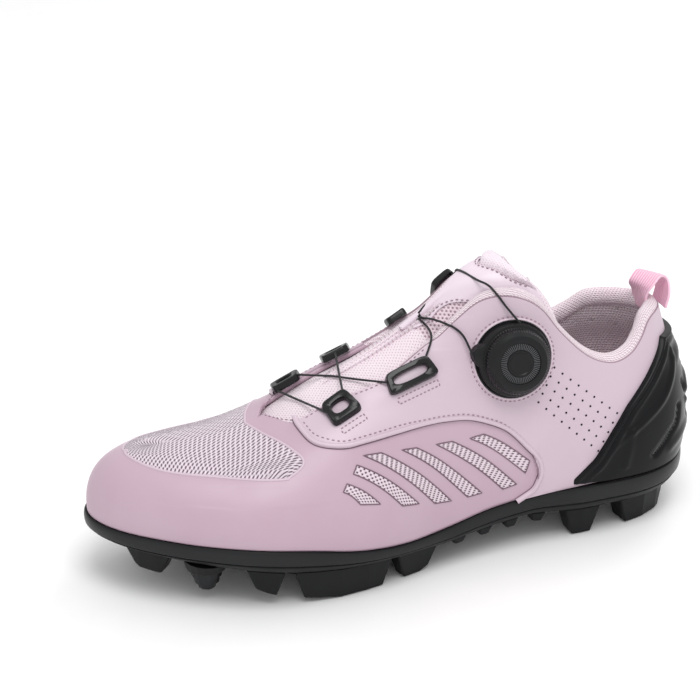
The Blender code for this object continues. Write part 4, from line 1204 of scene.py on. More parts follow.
def make_binding():
    alongs = BINDING_END * (1 - np.cos(np.linspace(0.0, math.pi / 2, 90)))
    outer = turn_of(alongs)
    turns = np.concatenate([-outer[:0:-1], outer])
    turns = np.mod(turns + TURN, TURN)
    turns[len(alongs) - 1] = 0.0
    edge = skin(turns, upper_edge(turns))
    below = skin(turns, upper_edge(turns) - 0.03)
    rise = edge - below
    rise = rise / np.linalg.norm(rise, axis=-1, keepdims=True)
    normal = wall_normal(turns, upper_edge(turns) - 0.02)
    along = along_of(turns)
    padding = 1.0 - smooth(0.20, 0.36, along)
    half = BINDING_HALF + BINDING_HALF_PAD * padding
    tall = BINDING_TALL + BINDING_TALL_PAD * padding
    fade = smooth(BINDING_END, BINDING_END - BINDING_FADE, along)
    half, tall = half * (0.3 + 0.7 * fade), tall * (0.2 + 0.8 * fade)
    centre = edge - normal * (half * 0.75)[:, None] - rise * (tall * 0.55)[:, None]
    swing = np.linspace(*BINDING_SWING, BINDING_RING) * math.pi
    c, s = np.cos(swing), np.sin(swing)
    grid = centre[:, None] + normal[:, None] * (c[None] * half[:, None])[..., None]
    grid = grid + rise[:, None] * (s[None] * tall[:, None])[..., None]
    bm = sheet("collar_binding", grid, metre_uv(grid))
    bm.normal_update()
    probe = Vector(edge[40] + normal[40] * 0.002)
    near = min(bm.faces, key=lambda face: (face.calc_center_median() - probe).length)
    if near.normal.dot(Vector(normal[40])) < 0:
        flip(bm)
    return piece("collar_binding", bm, [binding_look])


binding = make_binding()

# %% [markdown]
# ## Tongue
# The tongue is a curved pad under the laces: perforated foam below, a smooth cover that carries the cord
# through a slit, and a puffy top that a stitched line gathers. Its sections follow the ridge of the last. A
# ray cast sideways finds how much room the upper leaves it, as it does for the solid, and the half widths
# that come of it are evened on a grid, so that fine rows don't show each ray's small jump.

# %% The tongue's sections
TONGUE_COLUMNS = "along sink width depth lean"
TONGUE = (
    (0.320, 0.30, 0.275, 0.520, 50.0),
    (0.370, 0.20, 0.290, 0.430, 46.0),
    (0.420, 0.20, 0.300, 0.330, 40.0),
    (0.500, 0.15, 0.320, 0.240, 32.0),
    (0.580, 0.15, 0.320, 0.200, 26.0),
    (0.650, 0.20, 0.300, 0.170, 22.0),
    (0.690, 0.60, 0.270, 0.140, 18.0),
    (0.720, 0.95, 0.250, 0.115, 15.0),
    (0.765, 1.00, 0.220, 0.090, 12.0),
)
TONGUE_PAD = 0.004
TONGUE_TOP = 0.320
TONGUE_TOE = 0.765
TONGUE_ALONGS = np.linspace(0.310, 0.775, 156)
TONGUE_ACROSS = np.linspace(-1.0, 1.0, 81)
EVENING_ROUNDS = 30
CORNER_TRIM = 0.034
PAD_PUFF = 0.0026
EDGE_ROUND = 0.009
EDGE_DROP = 0.0020
WINDOW_END = 0.472
WINDOW_TUCK = 0.02
PAD_RISE = 0.010
PAD_GROOVE = 0.0005
PAD_FADE = (0.62, 0.40)
# the wave where the top's puffy part starts: across, along
TOP_PAD_LINE = (
    (-0.70, 0.322),
    (-0.45, 0.329),
    (-0.36, 0.338),
    (-0.20, 0.344),
    (0.0, 0.356),
    (0.20, 0.344),
    (0.36, 0.338),
    (0.45, 0.329),
    (0.70, 0.322),
)
# the smooth cover's half width: along, across
COVER_SIDE = (
    (0.350, 0.97),
    (0.375, 0.80),
    (0.388, 0.56),
    (0.398, 0.46),
    (0.405, 0.40),
    (0.416, 0.330),
    (0.431, 0.30),
    (0.450, 0.325),
    (0.461, 0.325),
    (0.476, 0.28),
    (0.484, 0.20),
    (0.489, 0.08),
)


def tongue_curve(name, along):
    return table_curve(TONGUE, TONGUE_COLUMNS, name, along)


def tongue_spine(along, across):
    """Length, middle and height of places on the tongue, whose width is found apart."""
    ridge = last("welt", along) * WELT_HEIGHT + last("rise", along) * RISE
    ridge = ridge - tongue_curve("sink", along) * TONGUE_PAD
    lean = np.radians(tongue_curve("lean", along))
    swing = np.abs(across) * 0.5 * math.pi
    depth = tongue_curve("depth", along) * RISE * (1.0 - np.cos(swing))
    x = HEEL_X - along * LAST_LENGTH + depth * np.sin(lean)
    z = ridge - depth * np.cos(lean)
    return np.stack([x, centre_y(along), z], -1)


def tongue_widths():
    """Half widths on a grid of places, held inside the upper and evened out."""
    along, across = np.meshgrid(TONGUE_ALONGS, TONGUE_ACROSS, indexing="ij")
    width = tongue_curve("width", along) * BALL_WIDTH * np.sin(np.abs(across) * 0.5 * math.pi)
    place = tongue_spine(along, across).reshape(-1, 3)
    room = np.full(len(place), 1.0)
    for index, (point, side) in enumerate(zip(place, np.sign(across).ravel())):
        if side == 0:
            continue
        hit, normal, _, _ = SHELL_FACE.ray_cast(Vector(point), Vector((0.0, side, 0.0)), 0.08)
        if hit is None:
            continue
        at = (HEEL_X - point[0]) / LAST_LENGTH
        thick = WALL + (COLLAR_PAD - WALL) * (1.0 - float(smooth(0.40, 0.52, at))) + 0.0007
        room[index] = max(abs(hit.y - point[1]) - thick / max(abs(normal.y), 0.35), 0.0005)
    room = room.reshape(along.shape)
    width = width * room / (width**6 + room**6) ** (1.0 / 6.0)
    for _ in range(EVENING_ROUNDS):
        width[1:-1] = 0.5 * width[1:-1] + 0.25 * (width[:-2] + width[2:])
    return width


def tongue_points(along, across):
    """Points of the tongue's outer face, for arrays of places."""
    along, across = np.broadcast_arrays(np.asarray(along, float), np.asarray(across, float))
    column = (along - TONGUE_ALONGS[0]) / (TONGUE_ALONGS[1] - TONGUE_ALONGS[0])
    row = (across - TONGUE_ACROSS[0]) / (TONGUE_ACROSS[1] - TONGUE_ACROSS[0])
    column = np.clip(column, 0.0, len(TONGUE_ALONGS) - 1.001)
    row = np.clip(row, 0.0, len(TONGUE_ACROSS) - 1.001)
    i, j = column.astype(int), row.astype(int)
    u, v = column - i, row - j
    near = TONGUE_HALF[i, j] * (1 - u) + TONGUE_HALF[i + 1, j] * u
    far = TONGUE_HALF[i, j + 1] * (1 - u) + TONGUE_HALF[i + 1, j + 1] * u
    points = tongue_spine(along, across)
    points[..., 1] += np.sign(across) * (near * (1 - v) + far * v)
    return points


TONGUE_HALF = tongue_widths()
print("tongue's widest half in m", TONGUE_HALF.max().round(4))

# %% [markdown]
# ## The tongue's foam
# One sheet makes the whole tongue. Past the wavy line its top swells by the puff of the foam and then rounds
# off at the edge, and Solidify gives it its depth. The finish changes by zone: fine holes below, an open mesh
# in the window beside the cover, and a dotted knit on the top, so each face takes its material by its place.

# %% The tongue's foam


def pad_line(across):
    rows = np.array(TOP_PAD_LINE)
    return np.interp(across, rows[:, 0], rows[:, 1])


def tongue_end(across):
    """Where the tongue's top edge lies, cut back at its corners."""
    return TONGUE_TOP + CORNER_TRIM * smooth(0.45, 1.0, np.abs(across))


def outward_of(points):
    normal = grid_normals(points)
    return normal * np.sign(normal[..., 2].mean())


def make_tongue():
    across = np.linspace(-1.0, 1.0, 73)
    along = np.linspace(TONGUE_TOE, TONGUE_TOP, 130)
    a, c = np.meshgrid(along, across, indexing="xy")
    a = TONGUE_TOE + (a - TONGUE_TOE) * (TONGUE_TOE - tongue_end(c)) / (TONGUE_TOE - TONGUE_TOP)
    points = tongue_points(a, c)
    normal = outward_of(points)
    over = pad_line(c) - a
    puff = smooth(0.0, PAD_RISE, over) * PAD_PUFF - bump(over, 0.006) * PAD_GROOVE
    puff = puff * smooth(*PAD_FADE, np.abs(c))
    near_end = np.clip(1.0 - (a - tongue_end(c)) / EDGE_ROUND, 0.0, 1.0)
    puff = puff - EDGE_DROP * (1.0 - np.sqrt(1.0 - near_end**2))
    points = points + normal * puff[..., None]
    bm = face_up(sheet("tongue_pad", points, metre_uv(points)))
    places = KDTree(a.size)
    for index, point in enumerate(points.reshape(-1, 3)):
        places.insert(Vector(point), index)
    places.balance()
    cover = np.array(COVER_SIDE)
    for face in bm.faces:
        index = places.find(face.calc_center_median())[1]
        at, side = a.ravel()[index], abs(c.ravel()[index])
        if over.ravel()[index] > 0.0:
            face.material_index = 1
        elif at < WINDOW_END and side > np.interp(at, cover[:, 0], cover[:, 1]) - WINDOW_TUCK:
            face.material_index = 2
    obj = piece("tongue_foam", bm, [foam_look, pad_look, window_look], "tongue")
    thicken(obj, TONGUE_PAD * 0.9, -1.0, even=False)
    return obj


tongue = make_tongue()

# %% [markdown]
# ## The tongue's cover
# The cover is a thin smooth layer sewn on the foam. Its side edge is a curve of half widths, and its back
# edge meets the puffy top. Both edges depend on each other, so a few rounds settle the rows between them.

# %% The tongue's cover
COVER_FOOT = 0.489
COVER_TUCK = 0.001
COVER_THICK = 0.0008
COVER_FITS = 4


def make_tongue_cover():
    rows = smooth_line(COVER_SIDE, 8)
    share = np.linspace(-1.0, 1.0, 61)[:, None]
    down = np.linspace(0.0, 1.0, 80)[None]
    a = COVER_FOOT + (COVER_SIDE[0][0] - COVER_FOOT) * down + 0 * share
    for _ in range(COVER_FITS):
        c = np.interp(a, rows[:, 0], rows[:, 1]) * share
        back = EDGE_ROUND * smooth(PAD_FADE[1], PAD_FADE[0], np.abs(c))
        top = np.maximum(pad_line(c) + COVER_TUCK, tongue_end(c) + back)
        a = COVER_FOOT + (top - COVER_FOOT) * down
    points = tongue_points(a, c)
    points = points + outward_of(points) * 0.0002
    bm = face_up(sheet("tongue_cover", points, metre_uv(points)))
    obj = piece("tongue_cover", bm, [cover_look])
    return thicken(obj, COVER_THICK, 1.0, even=False)


tongue_cover = make_tongue_cover()

# %% [markdown]
# ## Stitches and slit of the tongue
# One row of stitches holds the cover's arched edge and one follows the wave at the top. The cord dives under
# the cover through a short slit, shown as a strip of painted shade. All of them are lines of places on the
# tongue, lifted onto its face.

# %% Stitches and slit of the tongue
SEAM_LIFT = 0.0012
SLIT_LIFT = 0.0010
COVER_INSET = 0.035
TOP_INSET = 0.0025


def tongue_line(places, lift, steps=10):
    line = smooth_line(places, steps)
    points = tongue_points(line[:, 0], line[:, 1])
    ahead = tongue_points(line[:, 0] - 0.002, line[:, 1])
    aside = tongue_points(line[:, 0], line[:, 1] + 0.02)
    normal = np.cross(ahead - points, aside - points)
    normal = normal / np.linalg.norm(normal, axis=-1, keepdims=True)
    normal = normal * np.sign(normal[:, 2:])
    return points + normal * lift, normal


cover_seam = [(along, COVER_INSET - across) for along, across in COVER_SIDE[2:]]
mirrored = [(along, -across) for along, across in cover_seam]
top_seam = [(along + TOP_INSET, across) for across, along in TOP_PAD_LINE[1:-1]]
stitches("tongue_stitches", [tongue_line(seam, SEAM_LIFT) for seam in (cover_seam, mirrored, top_seam)])
slit = [(0.470, -0.10), (0.458, -0.045), (0.442, 0.03)]
lip("tongue_slit_shade", [tongue_line(slit, SLIT_LIFT)], 0.0011, 0.0003, hole_shade_look)

# %% [markdown]
# ## Insole
# The footbed is a loose moulded pad, and only its cloth top is seen, through the collar. Rings set in from
# the welt line make its top, its rounded rim and its underside in one closed sheet.

# %% Insole
INSOLE_SIDE_GAP = 0.0016
INSOLE_GAP = 0.0006
INSOLE_THICK = 0.003
BED_DROP = 0.001


def bed_height(x):
    return last("welt", (HEEL_X - x) / LAST_LENGTH) * WELT_HEIGHT - BED_DROP


def plan(turns, inset):
    """Points set in from the welt line, level with it."""
    return foot(turns) - outward(turns) * np.asarray(inset)[..., None]


def spine(turns):
    along = 0.07 + 0.86 * along_of(turns)
    return np.stack([HEEL_X - along * LAST_LENGTH, centre_y(along), 0 * along], -1)


def make_insole():
    turns = np.append(np.linspace(0.0, TURN, 161)[:-1], TURN)
    inset = WALL + INSOLE_SIDE_GAP
    rows = []
    middle = spine(turns)
    for share in np.linspace(0.0, 1.0, 12):
        rim = plan(turns, inset + 0.0012 + 0 * turns)
        point = middle * (1 - share) + rim * share
        point[:, 2] = bed_height(point[:, 0]) + INSOLE_GAP + INSOLE_THICK - 0.0002 + 0.0002 * share
        rows.append(point)
    low = plan(turns, inset + 0 * turns)
    low[:, 2] = bed_height(low[:, 0]) + INSOLE_GAP + INSOLE_THICK - 0.0008
    base = plan(turns, inset + 0.001 + 0 * turns)
    base[:, 2] = bed_height(base[:, 0]) + INSOLE_GAP
    under = middle.copy()
    under[:, 2] = bed_height(under[:, 0]) + INSOLE_GAP
    grid = np.stack(rows + [low, base, under], 1)
    uv = np.stack([grid[..., 0], grid[..., 1]], -1)
    bm = sheet("insole_cloth", grid, uv)
    face_outwards(bm)
    return piece("insole_cloth", bm, [insole_look], "insole")


make_insole()

# %% [markdown]
# ## Dial
# A ratchet dial winds the cord. Its base is welded in a round cut-out of the outer panel, with a small nose
# where the cord leaves. The knob has fine grip ribs round its side and a ring of fine lines on its
# face. On the real shoe the knob turns; here it stands still. Both are turned bodies, as a lathe makes
# them, from a short profile of radii and heights, and the lowest rings are seated on the leather by rays.

# %% Dial
DIAL_RADIUS = 0.0160
DIAL_BASE = 0.0040
KNOB_RADIUS = 0.0142
KNOB_HEIGHT = 0.0072
DIAL_ALONG = 0.329
DIAL_UP = 0.610
NOSE_LENGTH = 0.0030
NOSE_TURN = math.radians(165.0)
NOSE_SPREAD = 0.30
RIBS = 72
RIB_ROWS = (11, 12, 13)
RIB_DEPTH = 0.00042
FACE_LINES = 60
FACE_LINE = (0.0026, 0.00024, 0.0003)
FACE_RING = 0.0073
SEAT_LIFT = 0.0002


def turned(name, profile, segments, place, radius, tree=None):
    """A round body from (radius, height) rings, top to bottom; a height of None lies on the leather."""
    turns = np.linspace(0.0, TURN, segments + 1)
    grid = np.empty((segments + 1, len(profile), 3))
    for row, (reach, height) in enumerate(profile):
        ring = radius(row, turns, reach)
        x, y = ring * np.cos(turns), ring * np.sin(turns)
        for column in range(segments + 1):
            if height is None:
                point = seated(place, tree, x[column], y[column], SEAT_LIFT)
            else:
                point = place @ Vector((x[column], y[column], height))
            grid[column, row] = point
    bm = sheet(name, grid, metre_uv(grid))
    face_outwards(bm)
    return bm


dial = pin(turn_of(DIAL_ALONG), DIAL_UP, PANEL_FACE_OUT)


def nosed(row, turns, reach):
    """The base's round outline with its nose towards the toe."""
    away = np.abs(np.mod(turns - NOSE_TURN + math.pi, TURN) - math.pi)
    return reach + NOSE_LENGTH * np.clip(1.0 - away / NOSE_SPREAD, 0.0, 1.0) ** 0.6 * (reach > 0.012)


def make_dial():
    base = [
        (0.0, DIAL_BASE),
        (DIAL_RADIUS * 0.93, DIAL_BASE),
        (DIAL_RADIUS * 0.97, DIAL_BASE - 0.0003),
        (DIAL_RADIUS, DIAL_BASE - 0.0010),
        (DIAL_RADIUS, 0.0014),
        (DIAL_RADIUS + 0.0004, None),
        (DIAL_RADIUS * 0.7, None),
        (0.0, None),
    ]
    bm = turned("dial_base_body", base, 96, dial, nosed, PANEL_FACE)
    piece("dial_base_body", bm, [dial_look], "dial_base", 30.0)
    low, high = DIAL_BASE + 0.0003, DIAL_BASE + 0.0003 + KNOB_HEIGHT

    def ribbed(row, turns, reach):
        wave = 0.5 + 0.5 * np.cos(turns * RIBS)
        return reach - (RIB_DEPTH * wave if row in RIB_ROWS else 0.0)

    knob = [
        (0.0, high - 0.0006),
        (0.0046, high - 0.0006),
        (0.0050, high - 0.00025),
        (0.0056, high - 0.00025),
        (0.0058, high - 0.0006),
        (0.0088, high - 0.0006),
        (0.0090, high - 0.0001),
        (0.0104, high),
        (0.0118, high - 0.0003),
        (0.0127, high - 0.0013),
        (0.0132, high - 0.0018),
        (0.0139, high - 0.0024),
        (KNOB_RADIUS, high - 0.0034),
        (KNOB_RADIUS, low + 0.0010),
        (KNOB_RADIUS + 0.0002, low + 0.0006),
        (KNOB_RADIUS, low),
        (0.0, low),
    ]
    bm = turned("dial_knob_body", knob, RIBS * 4, dial, ribbed)
    piece("dial_knob_body", bm, [dial_look], "dial_knob", 32.0)
    bm = bmesh.new()
    for number in range(FACE_LINES):
        turn = TURN * number / FACE_LINES
        place = dial @ Matrix.Rotation(turn, 4, "Z") @ Matrix.Translation((FACE_RING, 0.0, high - 0.00058))
        place = place @ Matrix.Diagonal((*FACE_LINE, 1.0))
        bmesh.ops.create_cube(bm, size=1.0, matrix=place)
    piece("dial_lines", bm, [line_look])


make_dial()

# %% [markdown]
# ## The dial's cut-out
# Round the dial lie three rings on the leather: the base's thin flange, the pale cut edge of the panel and a
# row of stitches. Each is a round line dropped onto the panel's face, so it follows the ankle's curve.

# %% The dial's cut-out
SEAT_RADIUS = 0.0168
CUTOUT_RADII = (0.0175, 0.0174)
STITCH_RADII = (0.0186, 0.0185)


def round_line(reach_x, reach_y):
    """A closed oval line on the panel round the dial, with its normals."""
    points, normals = [], []
    for turn in np.linspace(0.0, TURN, 97):
        points.append(seated(dial, PANEL_FACE, reach_x * math.cos(turn), reach_y * math.sin(turn), 0.0))
        normals.append(dial.to_3x3() @ Vector((0.0, 0.0, 1.0)))
    return np.array(points), np.array(normals)


lip("dial_seat", [round_line(SEAT_RADIUS, SEAT_RADIUS)], 0.0022, 0.0005, dial_look)
lip("dial_cutout", [round_line(*CUTOUT_RADII)], 0.0010, 0.0007, edge_look)
stitches("dial_stitches", [round_line(*STITCH_RADII)], pitch=0.0021, length=0.0013)

# %% [markdown]
# ## Lace guides
# The cord runs through moulded loops that are welded to the eyestay, with a short stitched tab under the two
# outer ones. Each guide is a rounded frame swept round its window; outside it is square, inside it is oval.

# %% Lace guides
GUIDE_HEIGHT = 0.0032
# side, along, up, half length, half width, twist in degrees
GUIDES = {
    "guide_front_lateral": (1, 0.618, 0.735, 0.0068, 0.0062, 18.0),
    "guide_middle_lateral": (1, 0.503, 0.685, 0.0110, 0.0050, 14.0),
    "guide_front_medial": (-1, 0.662, 0.850, 0.0066, 0.0042, -16.0),
    "guide_middle_medial": (-1, 0.580, 0.840, 0.0066, 0.0042, -16.0),
    "guide_upper_medial": (-1, 0.478, 0.850, 0.0050, 0.0036, -14.0),
    "guide_top_medial": (-1, 0.385, 0.830, 0.0062, 0.0050, -14.0),
}
OUTER_CORNER = 0.32
WINDOW_CORNER = 0.75
WINDOW_END_WALL = 0.0030
WINDOW_SHARE = 0.42
GUIDE_FLARE = 0.09
GUIDE_SEAT = 0.0002
# from the outer foot over the top to the window's foot: share inwards, share of the height
GUIDE_PROFILE = ((0.0, 0.62), (0.06, 0.88), (0.20, 1.0), (0.72, 1.0), (0.90, 0.90), (1.0, 0.62))


def superellipse(half_long, half_wide, corner, turns):
    c, s = np.cos(turns), np.sin(turns)
    return half_long * np.sign(c) * np.abs(c) ** corner, half_wide * np.sign(s) * np.abs(s) ** corner


def make_guide(name):
    side, along, up, half_long, half_wide, twist = GUIDES[name]
    frame_ = pin(turn_of(along, side), up, PANEL_FACE_OUT, twist)
    turns = np.linspace(0.0, TURN, 65)
    outer = superellipse(half_long, half_wide, OUTER_CORNER, turns)
    inner = superellipse(half_long - WINDOW_END_WALL, half_wide * WINDOW_SHARE, WINDOW_CORNER, turns)
    toe_side = -1.0 if side > 0 else 1.0
    flare = 1.0 + GUIDE_FLARE * outer[1] / half_wide * toe_side
    rows = [(share, GUIDE_HEIGHT * height) for share, height in GUIDE_PROFILE]
    rows = [(0.0, GUIDE_SEAT), *rows, (1.0, GUIDE_SEAT), (0.0, GUIDE_SEAT)]
    grid = np.empty((len(turns), len(rows), 3))
    for row, (share, height) in enumerate(rows):
        for column in range(len(turns)):
            x = outer[0][column] * flare[column] * (1 - share) + inner[0][column] * share
            y = outer[1][column] * (1 - share) + inner[1][column] * share
            grid[column, row] = seated(frame_, PANEL_FACE, x, y, height)
    bm = sheet(name, grid, metre_uv(grid))
    face_outwards(bm)
    piece(name + "_body", bm, [plastic_look], name, 30.0)
    return frame_


guide_frames = {name: make_guide(name) for name in GUIDES}

# %% [markdown]
# ## Stitched tabs
# The two outer guides are held by a webbing tab under the leather, and its box of stitches shows below each
# guide. The box is drawn in the guide's own frame, so it keeps the guide's slant.

# %% Stitched tabs
TAB_DROP = 0.0016
TAB_HEIGHT = 0.0024


def tab_lines(name, reach):
    """Two rows of stitches joined at their ends, below a guide."""
    place = guide_frames[name]
    low = -GUIDES[name][4] - TAB_DROP
    under = low - TAB_HEIGHT
    corners = [(-reach, low), (reach, low), (reach, under), (-reach, under), (-reach, low)]
    points, normals = [], []
    for (x0, y0), (x1, y1) in zip(corners, corners[1:]):
        for share in np.linspace(0.0, 1.0, 16)[:-1]:
            x, y = x0 + (x1 - x0) * share, y0 + (y1 - y0) * share
            points.append(seated(place, PANEL_FACE, x, y, 0.0))
            normals.append(place.to_3x3() @ Vector((0.0, 0.0, 1.0)))
    return np.array(points), np.array(normals)


tabs = [tab_lines("guide_front_lateral", 0.0060), tab_lines("guide_middle_lateral", 0.0098)]
stitches("tab_stitches", tabs, pitch=0.0019, length=0.0014)

# %% [markdown]
# ## Laces
# One coated cord zigzags from the dial over the tongue. Each visible run is a thin tube pulled tight between
# its ends, as the dial pulls the real cord. A string that is evened out again and again, and set back on any
# face it sinks into, ends as the shortest line over them. The runs that bend round the ankle are led by
# places read from the picture, and those are evened out only a little.

# %% Laces
LACE_RADIUS = 0.00050
CLEAR_REACH = 0.012
SET_REACH = 0.048
TIGHT_ROUNDS = 120
LOOSE_ROUNDS = 5


def tree_of(obj):
    graph = bpy.context.evaluated_depsgraph_get()
    return BVHTree.FromObject(obj, graph)


DRESSED = [tree_of(obj) for obj in (upper, quarters[0], quarters[1], tongue, tongue_cover, binding)]


def clear_of(point, way, lift, always=False):
    """The point, or where a dressed face lies higher, just over that face. Always sets it on the face."""
    down = -Vector(way)
    start = Vector(point) - down * CLEAR_REACH
    reach = (SET_REACH if always else CLEAR_REACH) + LACE_RADIUS + lift
    hits = [tree.ray_cast(start, down, reach) for tree in DRESSED]
    hits = [hit for hit in hits if hit[0] is not None]
    if not hits:
        return Vector(point)
    nearest = min(hits, key=lambda hit: hit[3])
    return nearest[0] - down * (LACE_RADIUS + lift)


def drawn_tight(line, ways, rounds, lift=0.00015):
    """A string pulled between its ends over the faces below it."""
    line = np.array(line)
    for _ in range(rounds):
        line[1:-1] = 0.5 * line[1:-1] + 0.25 * (line[:-2] + line[2:])
        for index in range(1, len(line) - 1):
            line[index] = clear_of(line[index], ways[index], lift)
    return line


def lace(name, start, end, start_way, end_way, node, places=()):
    """A cord from a start to an end: pulled tight, or led by places of (along, up, side, lift in mm)."""
    stops = [Vector(start)]
    for along, up, side, lift in places:
        turn = turn_of(along, side)
        way = wall_normal(turn, up)
        stops.append(clear_of(wall(turn, up), way, lift * MM, True))
    if end is not None:
        stops.append(Vector(end))
    line = smooth_line(stops, 10 if places else 30)
    share = np.linspace(0.0, 1.0, len(line))[:, None]
    ways = np.array(start_way)[None] * (1 - share) + np.array(end_way)[None] * share
    ways = ways / np.linalg.norm(ways, axis=-1, keepdims=True)
    line = drawn_tight(line, ways, LOOSE_ROUNDS if places else TIGHT_ROUNDS)
    print(name, round(float(np.linalg.norm(np.diff(line, axis=0), axis=1).sum()), 4), "m")
    curve = bpy.data.curves.new(name, "CURVE")
    curve.dimensions = "3D"
    curve.bevel_depth = LACE_RADIUS
    curve.bevel_resolution = 2
    curve.use_fill_caps = True
    spline = curve.splines.new("POLY")
    spline.points.add(len(line) - 1)
    for point, place in zip(spline.points, line):
        point.co = (*place, 1.0)
    curve.materials.append(cord_look)
    obj = bpy.data.objects.new(name, curve)
    bpy.context.scene.collection.objects.link(obj)
    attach(obj, "root")
    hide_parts(node)
    return obj


print("faces the cord lies on", len(DRESSED))

# %% [markdown]
# ## The six runs
# Three runs cross the throat from guide to guide. Two more dive under the tongue's cover through its slit,
# and the last goes from the dial's top to the upper guide on the far side. An end inside a guide, the dial or
# the slit isn't seen and simply stops there.

# %% The six runs
PORT_SHARE = 0.9
PORT_HEIGHT = 0.0018


def guide_port(name, x, y_share=PORT_SHARE):
    """A point in a guide's wall, where the cord goes in."""
    side, _, _, half_long, half_wide, _ = GUIDES[name]
    up_way = 1.0 if side > 0 else -1.0
    return guide_frames[name] @ Vector((x, up_way * half_wide * y_share, PORT_HEIGHT))


def facing(name):
    return guide_frames[name].to_3x3() @ Vector((0.0, 0.0, 1.0))


FRONT_L, FRONT_M, MIDDLE_L, MIDDLE_M, TOP_M = (
    "guide_front_lateral",
    "guide_front_medial",
    "guide_middle_lateral",
    "guide_middle_medial",
    "guide_top_medial",
)
dial_top = dial @ Vector((0.0035, DIAL_RADIUS * 0.97, DIAL_BASE * 0.6))
dial_nose = dial @ Vector((-DIAL_RADIUS - 0.0022, 0.0042, DIAL_BASE * 0.6))
dial_way = dial.to_3x3() @ Vector((0.0, 0.0, 1.0))
slit_stop = (0.4655, 0.985, 1, 0.2)
cover_way = Vector((0.0, -0.35, 1.0))
# the runs from guide to guide: name, then each guide with its port, then the solid
CROSSINGS = (
    ("lace_run_1", FRONT_M, (-0.0062, 0.2), FRONT_L, (-0.0062, 0.1), "lace_1"),
    ("lace_run_2", MIDDLE_M, (0.0, PORT_SHARE), FRONT_L, (0.0050, 0.85), "lace_2"),
    ("lace_run_3", FRONT_M, (0.0060, 0.3), MIDDLE_L, (-0.0104, 0.2), "lace_3"),
)
for name, inner, inner_port, outer, outer_port, node in CROSSINGS:
    start, end = guide_port(inner, *inner_port), guide_port(outer, *outer_port)
    lace(name, start, end, facing(inner), facing(outer), node)
lace(
    "lace_run_4",
    guide_port(MIDDLE_L, 0.0092, 0.75),
    None,
    facing(MIDDLE_L),
    cover_way,
    "lace_4",
    ((0.455, 0.795, 1, 0.8), (0.457, 0.90, 1, 0.8), slit_stop),
)
lace(
    "lace_run_5",
    dial_nose,
    None,
    dial_way,
    cover_way,
    "lace_4",
    ((0.408, 0.74, 1, 0.9), (0.430, 0.835, 1, 1.0), (0.452, 0.945, 1, 0.8), slit_stop),
)
lace(
    "lace_run_6",
    dial_top,
    guide_port(TOP_M, 0.0050, 0.3),
    dial_way,
    facing(TOP_M),
    "lace_5",
    ((0.333, 0.85, 1, 1.2), (0.352, 0.925, 1, 2.0), (0.372, 0.985, 1, 1.6)),
)

# %% [markdown]
# ## Heel counter
# A moulded shell cups the heel, glossy black over the pink. A double bead runs along its edge, a ridge
# sweeps down to the front, and two crescent windows are sunk near the back. Those forms are lines on the
# heel with a width and a height each, so that a form can be moved without touching the mesh.

# %% Heel counter
COUNTER = (
    (0.000, 0.560),
    (0.020, 0.570),
    (0.036, 0.575),
    (0.050, 0.535),
    (0.088, 0.440),
    (0.134, 0.335),
    (0.165, 0.235),
    (0.199, 0.115),
    (0.236, 0.035),
)
COUNTER_START = 0.014
COUNTER_FRONT = 0.236
COUNTER_WALL = 0.0028
COUNTER_THIN = 0.35
THIN_FROM = 0.185
FORM_STEPS = 24
OUTLINE_SINK = -0.3
LEAST_OUT = 0.5
GLOSS_SHARE = 0.7
# beads and grooves along the edge: distance from the edge, width and height in mm
EDGE_BEADS = ((1.6, 1.3, 0.75), (3.2, 0.9, -0.35), (4.8, 1.5, 0.55))
# lines of (along, up), then the width and the height of the form in mm
COUNTER_FORMS = (
    (((0.028, 0.50), (0.036, 0.43), (0.067, 0.325), (0.109, 0.25), (0.131, 0.215)), 2.6, 0.9),
    (((0.131, 0.215), (0.140, 0.13), (0.146, 0.065)), 2.6, 0.6),
    (((0.185, 0.115), (0.160, 0.165), (0.140, 0.195)), 2.2, 0.4),
    (((0.000, 0.47), (0.010, 0.46), (0.022, 0.45)), 4.5, 0.9),
    (((0.000, 0.33), (0.008, 0.31), (0.016, 0.24)), 4.0, 1.3),
    (((0.000, 0.13), (0.010, 0.13), (0.030, 0.12), (0.060, 0.09)), 4.2, 0.8),
)
COUNTER_WINDOWS = (
    (((0.021, 0.33), (0.014, 0.24), (0.014, 0.16)), 2.4, -1.5),
    (((0.041, 0.25), (0.048, 0.19), (0.066, 0.150), (0.092, 0.085)), 2.8, -1.7),
)


def gap_to(points, ends):
    """Distance in mm of grid points from the nearest of some places."""
    flat = points.reshape(-1, 3)
    gaps = np.full(len(flat), 1e3)
    for end in ends:
        gaps = np.minimum(gaps, np.linalg.norm(flat - end, axis=1))
    return gaps.reshape(points.shape[:-1]) / MM


def reach_from(points, places, side):
    """Distance in mm of grid points from a form's line on the wall."""
    line = smooth_line(places, FORM_STEPS)
    return gap_to(points, wall(turn_of(line[:, 0], side), line[:, 1], PANEL_FACE_OUT))


print("counter forms", len(COUNTER_FORMS), "and windows", len(COUNTER_WINDOWS))

# %% [markdown]
# ## The counter's shell
# The shell is one fine grid between the welt and the counter's edge. It swells or dips by its distance from
# the edge and from each form, and thins out towards its front tips. Its outline is sunk a little into the
# panel, so that no gap shows, and the windows' floors take the glossier black.

# %% The counter's shell


